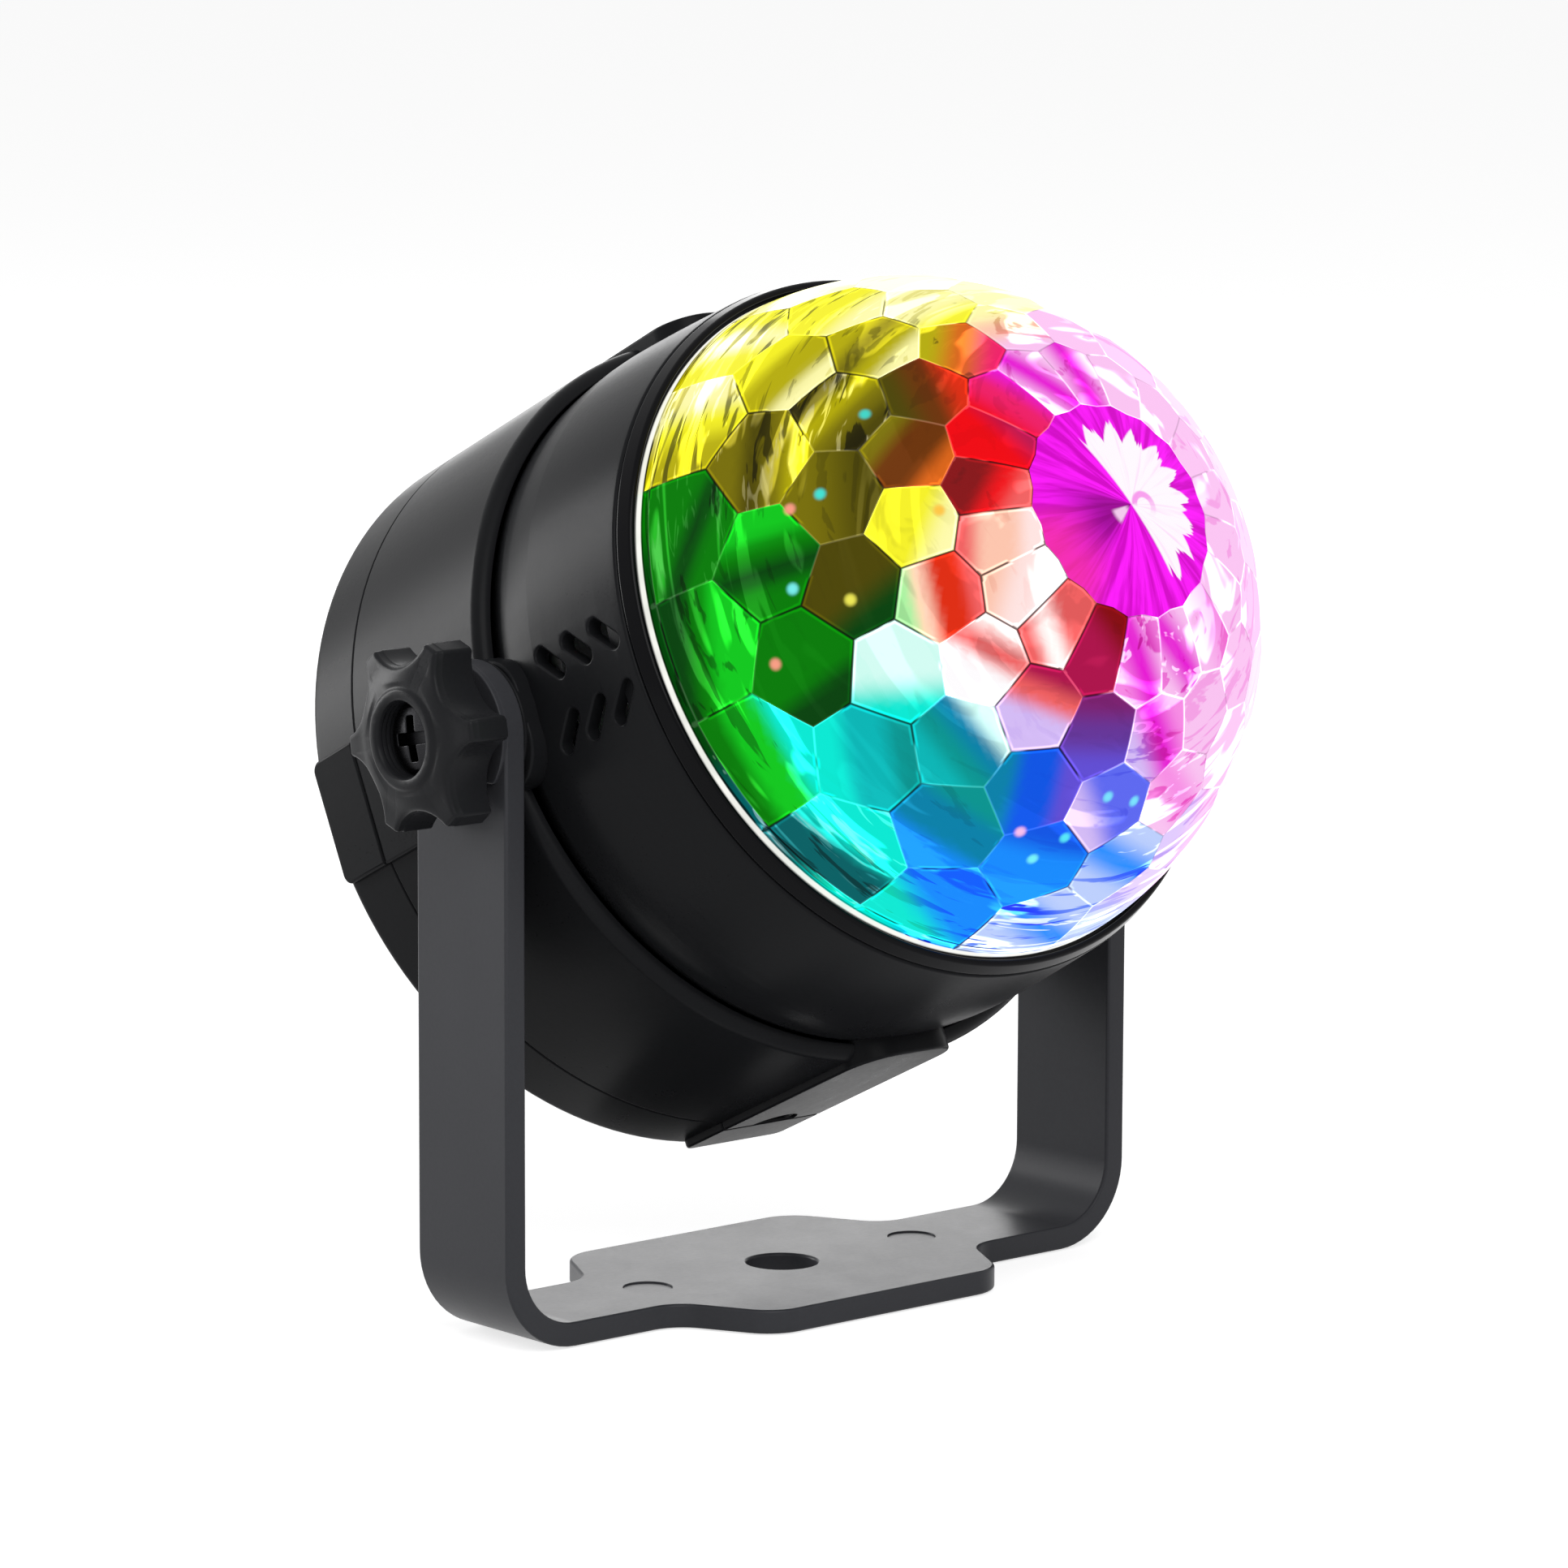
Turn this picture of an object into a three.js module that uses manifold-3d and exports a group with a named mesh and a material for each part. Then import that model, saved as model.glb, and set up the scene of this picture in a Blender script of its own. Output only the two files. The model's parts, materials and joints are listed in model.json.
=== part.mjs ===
// LED disco projector: a faceted dome on a round head that tilts in a U bracket.
// Millimetres, +Z up, the dome looks towards -Y and the pivots lie along X.
import * as THREE from 'three';
import { mergeVertices } from 'three/addons/utils/BufferGeometryUtils.js';
import { ConvexHull } from 'three/addons/math/ConvexHull.js';
import { ConvexGeometry } from 'three/addons/geometries/ConvexGeometry.js';
import Module from 'manifold-3d';

const wasm = await Module();
wasm.setup();

// Angles and counts.
const headTilt = THREE.MathUtils.degToRad(25.85);
const shoulderAngle = THREE.MathUtils.degToRad(62);
const ventTilt = THREE.MathUtils.degToRad(46);
const lobePhase = THREE.MathUtils.degToRad(15);
const halfTurn = Math.PI;
const quarterTurn = Math.PI / 2;
const fullTurn = Math.PI * 2;
const shellSegments = 42;
const discSegments = 30;
const bossSegments = 20;
const pinSegments = 8;
const bendSteps = 5;
const slotSteps = 2;
const edgeSteps = 2;
const domeSteps = 9;
const ledSteps = 3;
const scallopSteps = 3;
const ventRows = 3;
const backSlots = 4;
const finCount = 12;
const lobeCount = 6;
const nutSides = 6;
const capScrewCount = 4;
const lightCount = 3;
const screwsPerPlate = 3;
const partCount = 5;
const facetsAround = 18;
// Tilt of each ring of facets from the dome's axis, in degrees, and its half-step offset.
const facetRings = [[10.5, 0], [25, 1], [37, 0], [48.5, 1], [60.5, 0], [74.5, 1], [90, 1]];
const facetPhase = 173.5;

// Gaps.
const seatGap = 0.1;
const slideGap = 0.3;
const threadGap = 0.1;
const boreGap = 0.3;
const armClearance = 0.47;
const domeGap = 0.3;
const shaftGap = 0.06;
const weld = 0.0005;
const cutMargin = 4;

// Head shells.
const rearRadius = 46.3;
const rearWall = 1.9;
const rearFront = 2.0;
const rearRound = 1.7;
const rearRoundSteps = 4;
const rearLength = 36.0;
const capLength = 9.0;
const capBack = 2.2;
const capEdge = 1.0;
const capLip = 1.2;
const lipReach = 2.4;
const padHalfWidth = 7.5;
const padRise = 0.3;
const padRootDepth = 3.0;
const padEndInset = 0.4;
const spigotLength = 5.0;
const frontWall = 2.1;
const frontSwell = 0.6;
const frontTaper = 0.35;
const swellShare = 0.3;
const taperShare = 0.8;
const ribWidth = 3.5;
const ribDepth = 2.2;
const bossRadius = 8.2;
const bossDepth = 8.5;
const bossFront = 0.65;
const headAxisDrop = 0.52;

// Vents.
const ventFirst = 12.45;
const ventPitch = 4.95;
const ventOffset = 4.2;
const ventLength = 5.85;
const ventWidth = 1.95;
const backSlotWidth = 2.0;
const backSlotPitch = 4.4;
const backSlotFirst = 3.0;
const backSlotLength = 24.0;
const backSlotStep = 3.0;

// Dome, ring and rotor.
const domeWall = 2.7;
const domeSink = 0.3;
const flangeThickness = 1.3;
const flangeCatch = 0.35;
const ringHeight = 2.15;
const ringRound = 0.8;
const rotorThickness = 1.6;
const rotorInset = 0.35;
const hubRadius = 3.4;
const hubLength = 5.3;
const hubFloor = 0.3;
const shaftRadius = 1.5;
const shaftInGearbox = 6.5;
const lensHeadroom = 2.5;

// Light engine.
const heatSinkThickness = 2.15;
const finDepth = 6.3;
const finThickness = 1.2;
const finInner = 17.0;
const finMargin = 6.0;
const ledBoardRadius = 20.0;
const ledBoardThickness = 1.6;
const ledCircle = 11.6;
const ledSize = 5.0;
const ledBase = 1.4;
const ledBulge = 1.9;
const ledBulgeHeight = 1.1;
const lensFoot = 3.4;
const lensTop = 6.1;
const lensHeight = 6.2;
const lensFlange = 7.1;
const lensFlangeHeight = 0.6;
const lensPocket = 2.2;
const lensPocketDepth = 1.7;
const holderRadius = 19.3;
const holderHoleGap = 1.2;
const holderThickness = 1.5;
const holderLegRadius = 1.5;
const holderLegCircle = 12.5;
const boardScrewCircle = 17.0;

// Motor.
const noseRadius = 3.7;
const noseLength = 2.05;
const gearboxRadius = 12.0;
const gearboxLength = 9.0;
const motorRadius = 10.0;
const motorLength = 13.5;
const earHalfWidth = 3.2;
const earThickness = 1.85;
const earScrewStand = 2.8;
const earScrewEdge = 2.8;

// Control electronics.
const controlRadius = 29.0;
const controlThickness = 1.6;
const postRadius = 2.6;
const postCircle = 25.0;
const postLength = 10.1;
const chipSize = 9.0;
const chipHeight = 1.6;
const capacitorRadius = 3.1;
const capacitorHeight = 7.5;
const microphoneRadius = 2.4;
const microphoneHeight = 2.2;
const receiverWidth = 5.4;
const receiverDepth = 3.2;
const receiverHeight = 5.8;
const connectorWidth = 7.6;
const connectorDepth = 5.0;
const connectorHeight = 5.4;
const partCircle = 17.0;

// Cord inlet.
const inletRadius = 3.3;
const grommetWall = 1.0;
const grommetFlange = 1.2;
const grommetFlangeHeight = 1.2;
const grommetInset = 0.2;
const grommetSeatGap = 0.5;

// Bracket.
const bracketThickness = 2.93;
const stripWidth = 16.85;
const bendRadius = 10.5;
const baseClearance = 4.04;
const plateHalfDepth = 20.0;
const plateCornerX = 14.5;
const plateCornerRadius = 6.0;
const plateFilletRadius = 5.0;
const plateHoleRadius = 4.4;
const markRadius = 3.0;
const markDepth = 0.2;
const markOffset = 21.5;
const armBossRise = 0.4;
const armBossDrop = 5.3;

// Clamp knobs.
const clampRadius = 2.4;
const washerRadius = 6.3;
const washerThickness = 0.8;
const knobHubRadius = 6.2;
const knobHubStand = 0.6;
const knobTip = 11.7;
const knobRoot = 8.4;
const knobTipWidth = 2.4;
const knobRimHeight = 5.5;
const knobCrownHeight = 6.9;
const knobShoulder = 8.6;
const knobShoulderDrop = 0.9;
const knobRing = 6.0;
const recessRadius = 4.56;
const recessDepth = 3.7;
const clampHeadRadius = 4.1;
const clampHeadHeight = 2.0;
const clampHeadRound = 0.5;
const clampHeadDrop = 0.35;
const crossLength = 4.5;
const crossWidth = 1.2;
const crossDepth = 1.5;
const clampTipReach = 1.3;
const nutAcross = 8.0;
const nutThickness = 3.2;

// Small screws: head radius, head height, shank radius.
const capScrew = { head: 2.6, height: 1.6, shank: 1.4 };
const sinkScrew = { head: 1.6, height: 1.5, shank: 0.9 };
const boardScrew = { head: 1.45, height: 1.1, shank: 0.75 };
const earScrew = { head: 1.9, height: 1.5, shank: 0.95 };
const postScrew = { head: 1.6, height: 1.1, shank: 0.85 };
const rotorScrew = { head: 1.0, height: 0.7, shank: 0.55 };
const hubScrew = { head: 2.2, height: 1.0, shank: 0.8 };
const sinkScrewReach = 1.9;
const boardScrewReach = 1.7;
const earScrewReach = 1.5;
const postScrewReach = 5.0;
const rotorScrewReach = 0.9;
const hubScrewReach = 3.0;
const capScrewReach = 7.0;
const capBossRadius = 3.4;
const capBossOverlap = 0.4;
const capBossLength = 12.0;
const holeFloor = 0.4;

// Levels along the head's axis, counted from the pivot.
const rearInner = rearRadius - rearWall;
const frontRadius = rearInner - slideGap;
const frontInner = frontRadius - frontWall;
const finOuter = frontInner - finMargin;
const earScrewCircle = gearboxRadius + earScrewStand;
const earReach = earScrewCircle + earScrewEdge;
const capRear = rearFront - rearLength;
const seam = capRear + capLength;
const capFloor = capRear + capBack;
const sinkRear = bossRadius + bossFront;
const sinkFront = sinkRear + heatSinkThickness;
const ledBoardRear = sinkFront + seatGap;
const ledBoardFront = ledBoardRear + ledBoardThickness;
const ledRear = ledBoardFront + seatGap;
const lensRear = ledRear + ledBase + seatGap;
const lensFront = lensRear + lensHeight;
const holderFront = lensFront - lensFlangeHeight - seatGap;
const holderRear = holderFront - holderThickness;
const rotorRear = lensFront + lensHeadroom;
const rotorFront = rotorRear + rotorThickness;
const domeBase = rotorFront + seatGap;
const flangeFront = domeBase + flangeThickness;
const ringRear = flangeFront + domeGap;
const shellFront = ringRear - seatGap;
const ringFront = ringRear + ringHeight;
const domeRadius = frontInner;
const domeCentre = domeBase - domeSink;
const domeApex = domeCentre + domeRadius;
const ringInner = domeRadius + domeGap;
const flangeRadius = ringInner + flangeCatch;
const wideInner = flangeRadius + slideGap;
const wideRear = rotorRear - rotorScrew.height - seatGap - slideGap;
const controlRear = capFloor + postLength + seatGap;
const controlFront = controlRear + controlThickness;

// Distances along the pivots, counted from the middle.
const padFace = rearRadius + padRise;
const armInner = padFace + armClearance;
const armOuter = armInner + bracketThickness;
const bossFace = armInner - seatGap;
const bossInner = bossFace - bossDepth;
const armBossFace = armOuter + armBossRise;
const washerIn = armBossFace + seatGap;
const washerOut = washerIn + washerThickness;
const knobBack = washerOut + seatGap;
const lobeBack = knobBack + knobHubStand;
const lobeFront = lobeBack + knobRimHeight;
const knobFront = lobeBack + knobCrownHeight;
const recessFloor = knobFront - recessDepth;
const nutIn = bossInner + seatGap;
const nutOut = nutIn + nutThickness;
const clampTip = bossInner - clampTipReach;
const pivotHeight = domeApex + baseClearance + bracketThickness;

// Colours.
const looks = {
  shell: [0x4a4b4f, 0.45, 0],
  trim: [0x1b1b1d, 0.3, 0],
  crystal: [0xc65ad8, 0.12, 0],
  clear: [0xdfe8ee, 0.1, 0],
  steel: [0xb9bcc0, 0.35, 1],
  aluminium: [0xc9ccd0, 0.4, 1],
  board: [0x1d5a33, 0.5, 0],
  black: [0x17181a, 0.5, 0],
  rubber: [0x101112, 0.8, 0],
  red: [0xd0202a, 0.2, 0],
  green: [0x25b04a, 0.2, 0],
  blue: [0x2746d8, 0.2, 0],
};

/** Turns a three.js geometry into a closed body that faces out. */
function solid(geometry) {
  const bare = geometry.clone();
  bare.deleteAttribute('normal');
  bare.deleteAttribute('uv');
  const merged = mergeVertices(bare, weld);
  const position = merged.getAttribute('position').array;
  const index = merged.index.array;
  const faces = [];
  for (let i = 0; i < index.length; i += 3) {
    const [a, b, c] = [index[i], index[i + 1], index[i + 2]];
    if (a !== b && b !== c && a !== c) faces.push(a, b, c);
  }
  if (signedVolume(position, faces) < 0) faces.reverse();
  return new wasm.Manifold(new wasm.Mesh({
    numProp: 3,
    vertProperties: Float32Array.from(position),
    triVerts: Uint32Array.from(faces),
  }));
}

/** The triangles of a body as a three.js geometry. */
function geometryOf(body) {
  const mesh = body.getMesh();
  const shape = new THREE.BufferGeometry();
  shape.setAttribute('position', new THREE.BufferAttribute(Float32Array.from(mesh.vertProperties), 3));
  shape.setIndex(new THREE.BufferAttribute(Uint32Array.from(mesh.triVerts), 1));
  return shape;
}

/** Six times the volume inside a list of triangles. */
function signedVolume(position, faces) {
  const [a, b, c] = [new THREE.Vector3(), new THREE.Vector3(), new THREE.Vector3()];
  let total = 0;
  for (let i = 0; i < faces.length; i += 3) {
    a.fromArray(position, faces[i] * 3);
    b.fromArray(position, faces[i + 1] * 3);
    c.fromArray(position, faces[i + 2] * 3);
    total += a.dot(b.cross(c));
  }
  return total;
}

/** Joins a list of bodies. */
function join(bodies) {
  return bodies.reduce((all, body) => all.add(body));
}

/** Cuts a list of bodies out of one. */
function cut(body, tools) {
  return tools.reduce((left, tool) => left.subtract(tool), body);
}

/** A body turned about an axis along Z from [radius, height] points. */
function turned(profile, segments, x = 0, y = 0) {
  const points = profile.map(([radius, height]) => new THREE.Vector2(radius, height));
  return solid(new THREE.LatheGeometry(points, segments).rotateX(quarterTurn).translate(x, y, 0));
}

/** A ring or, with an inner radius of 0, a disc about Z. */
function ring(inner, outer, low, high, segments) {
  if (inner === 0) return turned([[0, low], [outer, low], [outer, high], [0, high]], segments);
  return turned([[inner, low], [outer, low], [outer, high], [inner, high], [inner, low]], segments);
}

/** A round rod along one axis between two heights, set off from that axis. */
function rod(axis, radius, low, high, first, second, segments) {
  const shape = new THREE.CylinderGeometry(radius, radius, high - low, segments);
  const middle = (high + low) / 2;
  if (axis === 'x') shape.rotateZ(-quarterTurn).translate(middle, first, second);
  if (axis === 'y') shape.translate(first, middle, second);
  if (axis === 'z') shape.rotateX(quarterTurn).translate(first, second, middle);
  return solid(shape);
}

/** A box between two corners. */
function block([x0, y0, z0], [x1, y1, z1]) {
  const shape = new THREE.BoxGeometry(x1 - x0, y1 - y0, z1 - z0);
  return solid(shape.translate((x0 + x1) / 2, (y0 + y1) / 2, (z0 + z1) / 2));
}

/** A flat outline carried along +Z. */
function prism(outline, depth) {
  const shape = new THREE.Shape(outline.map(([x, y]) => new THREE.Vector2(x, y)));
  return new THREE.ExtrudeGeometry(shape, { depth, bevelEnabled: false, steps: 1 });
}

/** Points along an arc. */
function arc(x, y, radius, from, to, steps) {
  const points = [];
  for (let i = 0; i <= steps; i += 1) {
    const angle = from + (to - from) * i / steps;
    points.push([x + radius * Math.cos(angle), y + radius * Math.sin(angle)]);
  }
  return points;
}

/** Points of a round-ended slot that lies along X. */
function slotOutline(length, width) {
  const reach = (length - width) / 2;
  return [
    ...arc(reach, 0, width / 2, -quarterTurn, quarterTurn, slotSteps),
    ...arc(-reach, 0, width / 2, quarterTurn, quarterTurn + halfTurn, slotSteps),
  ];
}

/** Evenly spaced places on a circle about Z. */
function around(count, radius, phase) {
  return Array.from({ length: count }, (_, step) => {
    const angle = fullTurn * step / count + phase;
    return [radius * Math.cos(angle), radius * Math.sin(angle)];
  });
}

/** A screw along Z: its head sits between seat and top, its shank runs down to the tip. */
function screw(size, x, y, seat, direction, reach) {
  const top = seat + direction * size.height;
  const tip = seat - direction * reach;
  return turned([
    [0, tip], [size.shank, tip], [size.shank, seat], [size.head, seat], [size.head, top], [0, top],
  ], pinSegments, x, y);
}

// Placing.
const axis = new THREE.Vector3(0, -Math.cos(headTilt), Math.sin(headTilt));
const lift = new THREE.Vector3(0, Math.sin(headTilt), Math.cos(headTilt));
const across = new THREE.Vector3(1, 0, 0);
const headPlace = new THREE.Matrix4().makeBasis(across, lift, axis);
headPlace.setPosition(lift.clone().multiplyScalar(-headAxisDrop).add(new THREE.Vector3(0, 0, pivotHeight)));
const standing = new THREE.Matrix4();

const group = new THREE.Group();
group.name = 'led_disco_projector';

/** Adds one named piece to the object. */
function add(name, body, look, place) {
  const shape = geometryOf(body).applyMatrix4(place);
  shape.computeVertexNormals();
  const [color, roughness, metalness] = looks[look];
  const piece = new THREE.Mesh(shape, new THREE.MeshStandardMaterial({ color, roughness, metalness }));
  piece.name = name;
  group.add(piece);
}

// Bracket.
/** The strip's edge line from one arm's top, round both bends, to the other arm's top. */
function stripLine(half, bottom, radius, top) {
  return [
    [-half, top],
    ...arc(-half + radius, bottom + radius, radius, halfTurn, halfTurn + quarterTurn, bendSteps),
    ...arc(half - radius, bottom + radius, radius, halfTurn + quarterTurn, fullTurn, bendSteps),
    [half, top],
  ];
}

/** One quarter of the base plate's edge: a round corner that flows into the strip. */
function shoulder() {
  const turn = quarterTurn - (halfTurn / 2 - shoulderAngle);
  const strip = stripWidth / 2;
  const convex = arc(plateCornerX, plateHalfDepth - plateCornerRadius, plateCornerRadius,
    quarterTurn, quarterTurn - turn, bendSteps);
  const [fromX, fromY] = convex[convex.length - 1];
  const endY = strip + plateFilletRadius * (1 - Math.cos(turn));
  const endX = fromX + (fromY - endY) / Math.tan(turn);
  const centreX = endX + plateFilletRadius * Math.sin(turn);
  const concave = arc(centreX, strip + plateFilletRadius, plateFilletRadius,
    halfTurn + quarterTurn - turn, halfTurn + quarterTurn, bendSteps);
  return [...convex, ...concave];
}

/** The whole edge of the base plate. */
function plateOutline() {
  const quarter = shoulder();
  const back = [...quarter].reverse();
  return [
    ...back.map(([x, y]) => [x, y]),
    ...quarter.map(([x, y]) => [-x, y]),
    ...back.map(([x, y]) => [-x, -y]),
    ...quarter.map(([x, y]) => [x, -y]),
  ];
}

function bracket() {
  const top = pivotHeight + stripWidth;
  const innerRadius = bendRadius - bracketThickness;
  const outline = [
    ...stripLine(armOuter, 0, bendRadius, top),
    ...stripLine(armInner, bracketThickness, innerRadius, top).reverse(),
  ];
  const strip = solid(prism(outline, stripWidth).rotateX(quarterTurn).translate(0, stripWidth / 2, 0));
  const side = [
    [stripWidth / 2, -cutMargin],
    ...arc(0, pivotHeight, stripWidth / 2, 0, halfTurn, bendSteps * 2),
    [-stripWidth / 2, -cutMargin],
  ];
  const width = (armOuter + cutMargin) * 2;
  const ends = prism(side, width).rotateX(quarterTurn).rotateZ(quarterTurn).translate(-width / 2, 0, 0);
  const bosses = [-1, 1].map((sign) => armBoss(sign));
  const plate = solid(prism(plateOutline(), bracketThickness));
  const body = join([strip.intersect(solid(ends)), plate, ...bosses]);
  const marks = [-1, 1].map((sign) => rod('z', markRadius, bracketThickness - markDepth,
    bracketThickness + cutMargin, sign * markOffset, 0, bossSegments));
  return cut(body, [
    rod('z', plateHoleRadius, -cutMargin, bracketThickness + cutMargin, 0, 0, bossSegments),
    rod('x', clampRadius + boreGap, -width / 2, width / 2, 0, pivotHeight, bossSegments),
    ...marks,
  ]);
}

/** The low pad on the outside of one arm's round end. */
function armBoss(sign) {
  const root = armOuter - bracketThickness / 2;
  const low = Math.min(sign * root, sign * armBossFace);
  const high = Math.max(sign * root, sign * armBossFace);
  const round = rod('x', stripWidth / 2, low, high, 0, pivotHeight, bossSegments);
  const floor = pivotHeight - armBossDrop;
  return round.intersect(block([low, -stripWidth, floor], [high, stripWidth, pivotHeight + stripWidth]));
}

// Head shells.
/** Four flat pads along the outside of the round head. */
function pads(low, high) {
  const root = rearInner - padRootDepth;
  const side = [1, -1].map((sign) => block(
    [Math.min(sign * root, sign * padFace), -padHalfWidth, low],
    [Math.max(sign * root, sign * padFace), padHalfWidth, high],
  ));
  const upright = [1, -1].map((sign) => block(
    [-padHalfWidth, Math.min(sign * root, sign * padFace), low],
    [padHalfWidth, Math.max(sign * root, sign * padFace), high],
  ));
  return [...side, ...upright];
}

/** The cord's way in, through the lower pad where the cap meets the shell. */
function inletHole() {
  const inside = -rearInner + padRootDepth + capLip + slideGap;
  return rod('y', inletRadius, -padFace - cutMargin, inside, 0, seam, bossSegments);
}

/** Turns a quantity into a low and high pair on one side of the middle. */
function span(sign, near, far) {
  return sign > 0 ? [near, far] : [-far, -near];
}

/** The rear shell's wall, with its front edge rounded down towards the front shell. */
function rearTube() {
  const root = rearInner - padRootDepth;
  const round = [];
  for (let step = 0; step <= rearRoundSteps; step += 1) {
    const turn = (quarterTurn * step) / rearRoundSteps;
    round.push([rearRadius - rearRound * (1 - Math.cos(turn)), rearFront - rearRound * (1 - Math.sin(turn))]);
  }
  return turned([[root, seam + seatGap], [rearRadius, seam + seatGap], ...round, [root, rearFront],
    [root, seam + seatGap]], shellSegments);
}

function rearShell() {
  const tube = rearTube();
  const hollow = ring(0, rearInner, seam - cutMargin, rearFront + cutMargin, shellSegments);
  const skin = join([tube, ...pads(seam + seatGap, rearFront)]).subtract(hollow);
  const bosses = [1, -1].map((sign) => {
    const [low, high] = span(sign, bossInner, bossFace);
    return rod('x', bossRadius, low, high, headAxisDrop, 0, bossSegments);
  });
  const screwBosses = capScrewPlaces().map(([x, y]) => rod('z', capBossRadius,
    seam + lipReach + slideGap, seam + lipReach + capBossLength, x, y, bossSegments));
  const holes = capScrewPlaces().map(([x, y]) => rod('z', capScrew.shank + threadGap,
    seam, seam + lipReach + capScrewReach + holeFloor, x, y, pinSegments));
  const bores = [1, -1].flatMap((sign) => {
    const [low, high] = span(sign, bossInner - cutMargin, bossFace + cutMargin);
    return [rod('x', clampRadius + boreGap, low, high, headAxisDrop, 0, bossSegments), nutPocket(sign)];
  });
  return cut(join([skin, ...bosses, ...screwBosses]), [...bores, ...holes, inletHole()]);
}

/** Where the cap's screws stand. */
function capScrewPlaces() {
  return around(capScrewCount, rearInner + capBossOverlap - capBossRadius, quarterTurn / 2);
}

/** The six-sided pocket that holds a clamp nut, open towards the middle of the head. */
function nutPocket(sign) {
  const [low, high] = span(sign, bossInner - cutMargin, nutOut + seatGap);
  return hexRod(nutAcross / 2 + slideGap, low, high);
}

/** A six-sided rod along X on the pivot line. */
function hexRod(inradius, low, high) {
  const radius = inradius / Math.cos(halfTurn / nutSides);
  const shape = new THREE.CylinderGeometry(radius, radius, high - low, nutSides).rotateZ(-quarterTurn);
  return solid(shape.translate((low + high) / 2, headAxisDrop, 0));
}

function rearCap() {
  const lipInner = rearInner - slideGap - capLip;
  const profile = [
    [0, capRear], [rearRadius - capEdge, capRear],
    ...arc(rearRadius - capEdge, capRear + capEdge, capEdge, -quarterTurn, 0, edgeSteps).slice(1),
    [rearRadius, seam], [rearInner - slideGap, seam], [rearInner - slideGap, seam + lipReach],
    [lipInner, seam + lipReach], [lipInner, capFloor], [0, capFloor],
  ];
  const shell = turned(profile, shellSegments);
  const core = ring(0, rearRadius - capBack, capFloor, seam + cutMargin, shellSegments);
  const trims = pads(capRear + padEndInset, seam).map((pad) => pad.subtract(core));
  const root = capFloor - capBack / 2;
  const posts = boardPlaces().map(([x, y]) => rod('z', postRadius, root, controlRear - seatGap, x, y, bossSegments));
  const inside = ring(0, rearInner - slideGap, capRear, seam + lipReach, shellSegments);
  const pillars = capScrewPlaces().map(([x, y]) => rod('z', capBossRadius, root, seam + lipReach, x, y, bossSegments)
    .intersect(inside));
  const seat = capRear + capScrew.height + seatGap;
  const holes = capScrewPlaces().flatMap(([x, y]) => [
    rod('z', capScrew.shank + boreGap, capRear - cutMargin, seam + lipReach + cutMargin, x, y, pinSegments),
    rod('z', capScrew.head + boreGap, capRear - cutMargin, seat, x, y, bossSegments),
  ]);
  const blind = boardPlaces().map(([x, y]) => rod('z', postScrew.shank + threadGap,
    controlRear - postScrewReach, controlRear + cutMargin, x, y, pinSegments));
  return cut(join([shell, ...trims, ...posts, ...pillars]), [...holes, ...blind, ...backVents(), inletHole()]);
}

/** Air slots through the cap's back. */
function backVents() {
  const slots = [];
  for (let row = 0; row < backSlots; row += 1) {
    const outline = slotOutline(backSlotLength - row * backSlotStep, backSlotWidth);
    const shape = prism(outline, capBack + cutMargin * 2);
    slots.push(solid(shape.translate(0, backSlotFirst + row * backSlotPitch, capRear - cutMargin)));
  }
  return slots;
}

/** Where the control board's posts stand. */
function boardPlaces() {
  return around(screwsPerPlate, postCircle, -quarterTurn);
}

function frontShell() {
  const swellAt = rearFront + (shellFront - rearFront) * swellShare;
  const taperAt = rearFront + (shellFront - rearFront) * taperShare;
  const rear = rearFront - spigotLength;
  const profile = [
    [frontInner, rear], [frontRadius, rear], [frontRadius, rearFront],
    [frontRadius + frontSwell, swellAt], [frontRadius, taperAt], [frontRadius - frontTaper, shellFront],
    [wideInner, shellFront], [wideInner, wideRear], [frontInner, wideRear],
    [frontInner, sinkRear - seatGap], [frontInner - ribWidth, sinkRear - seatGap],
    [frontInner - ribWidth, sinkRear - ribDepth], [frontInner, sinkRear - ribDepth], [frontInner, rear],
  ];
  const shell = turned(profile, shellSegments);
  const notches = [1, -1].map((sign) => {
    const [low, high] = span(sign, bossInner - cutMargin, bossFace + cutMargin);
    return rod('x', bossRadius + slideGap, low, high, headAxisDrop, 0, bossSegments);
  });
  const holes = sinkPlaces().map(([x, y]) => rod('z', sinkScrew.shank + threadGap,
    sinkRear - sinkScrewReach, sinkRear + cutMargin, x, y, pinSegments));
  return cut(shell, [...notches, ...holes, ...sideVents()]);
}

/** Slanted air slots in both sides of the front shell, in rows that point at the dome. */
function sideVents() {
  const slots = [];
  for (const side of [1, -1]) {
    for (const half of [1, -1]) {
      for (let row = 0; row < ventRows; row += 1) {
        const along = ventFirst + ventPitch * row;
        const depth = ribWidth + frontWall + cutMargin;
        const shape = prism(slotOutline(ventLength, ventWidth), depth);
        shape.rotateZ(quarterTurn - side * half * ventTilt).rotateY(side * quarterTurn);
        const start = side > 0 ? frontInner - ribWidth : ribWidth - frontInner;
        slots.push(solid(shape.translate(start, half * ventOffset, along)));
      }
    }
  }
  return slots;
}

/** Where the heat sink's screws stand. */
function sinkPlaces() {
  return around(screwsPerPlate, frontInner - slideGap - sinkScrew.head - slideGap, quarterTurn);
}

function frontRing() {
  const outer = frontRadius - frontTaper;
  const round = ringHeight / 2;
  return turned([
    [ringInner, ringRear], [outer, ringRear], [outer - ringRound / 2, ringRear + round],
    [outer - ringRound, ringFront - seatGap], [(outer + ringInner - ringRound) / 2, ringFront],
    [ringInner, ringFront - seatGap * 2], [ringInner, ringRear],
  ], shellSegments);
}

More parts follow.
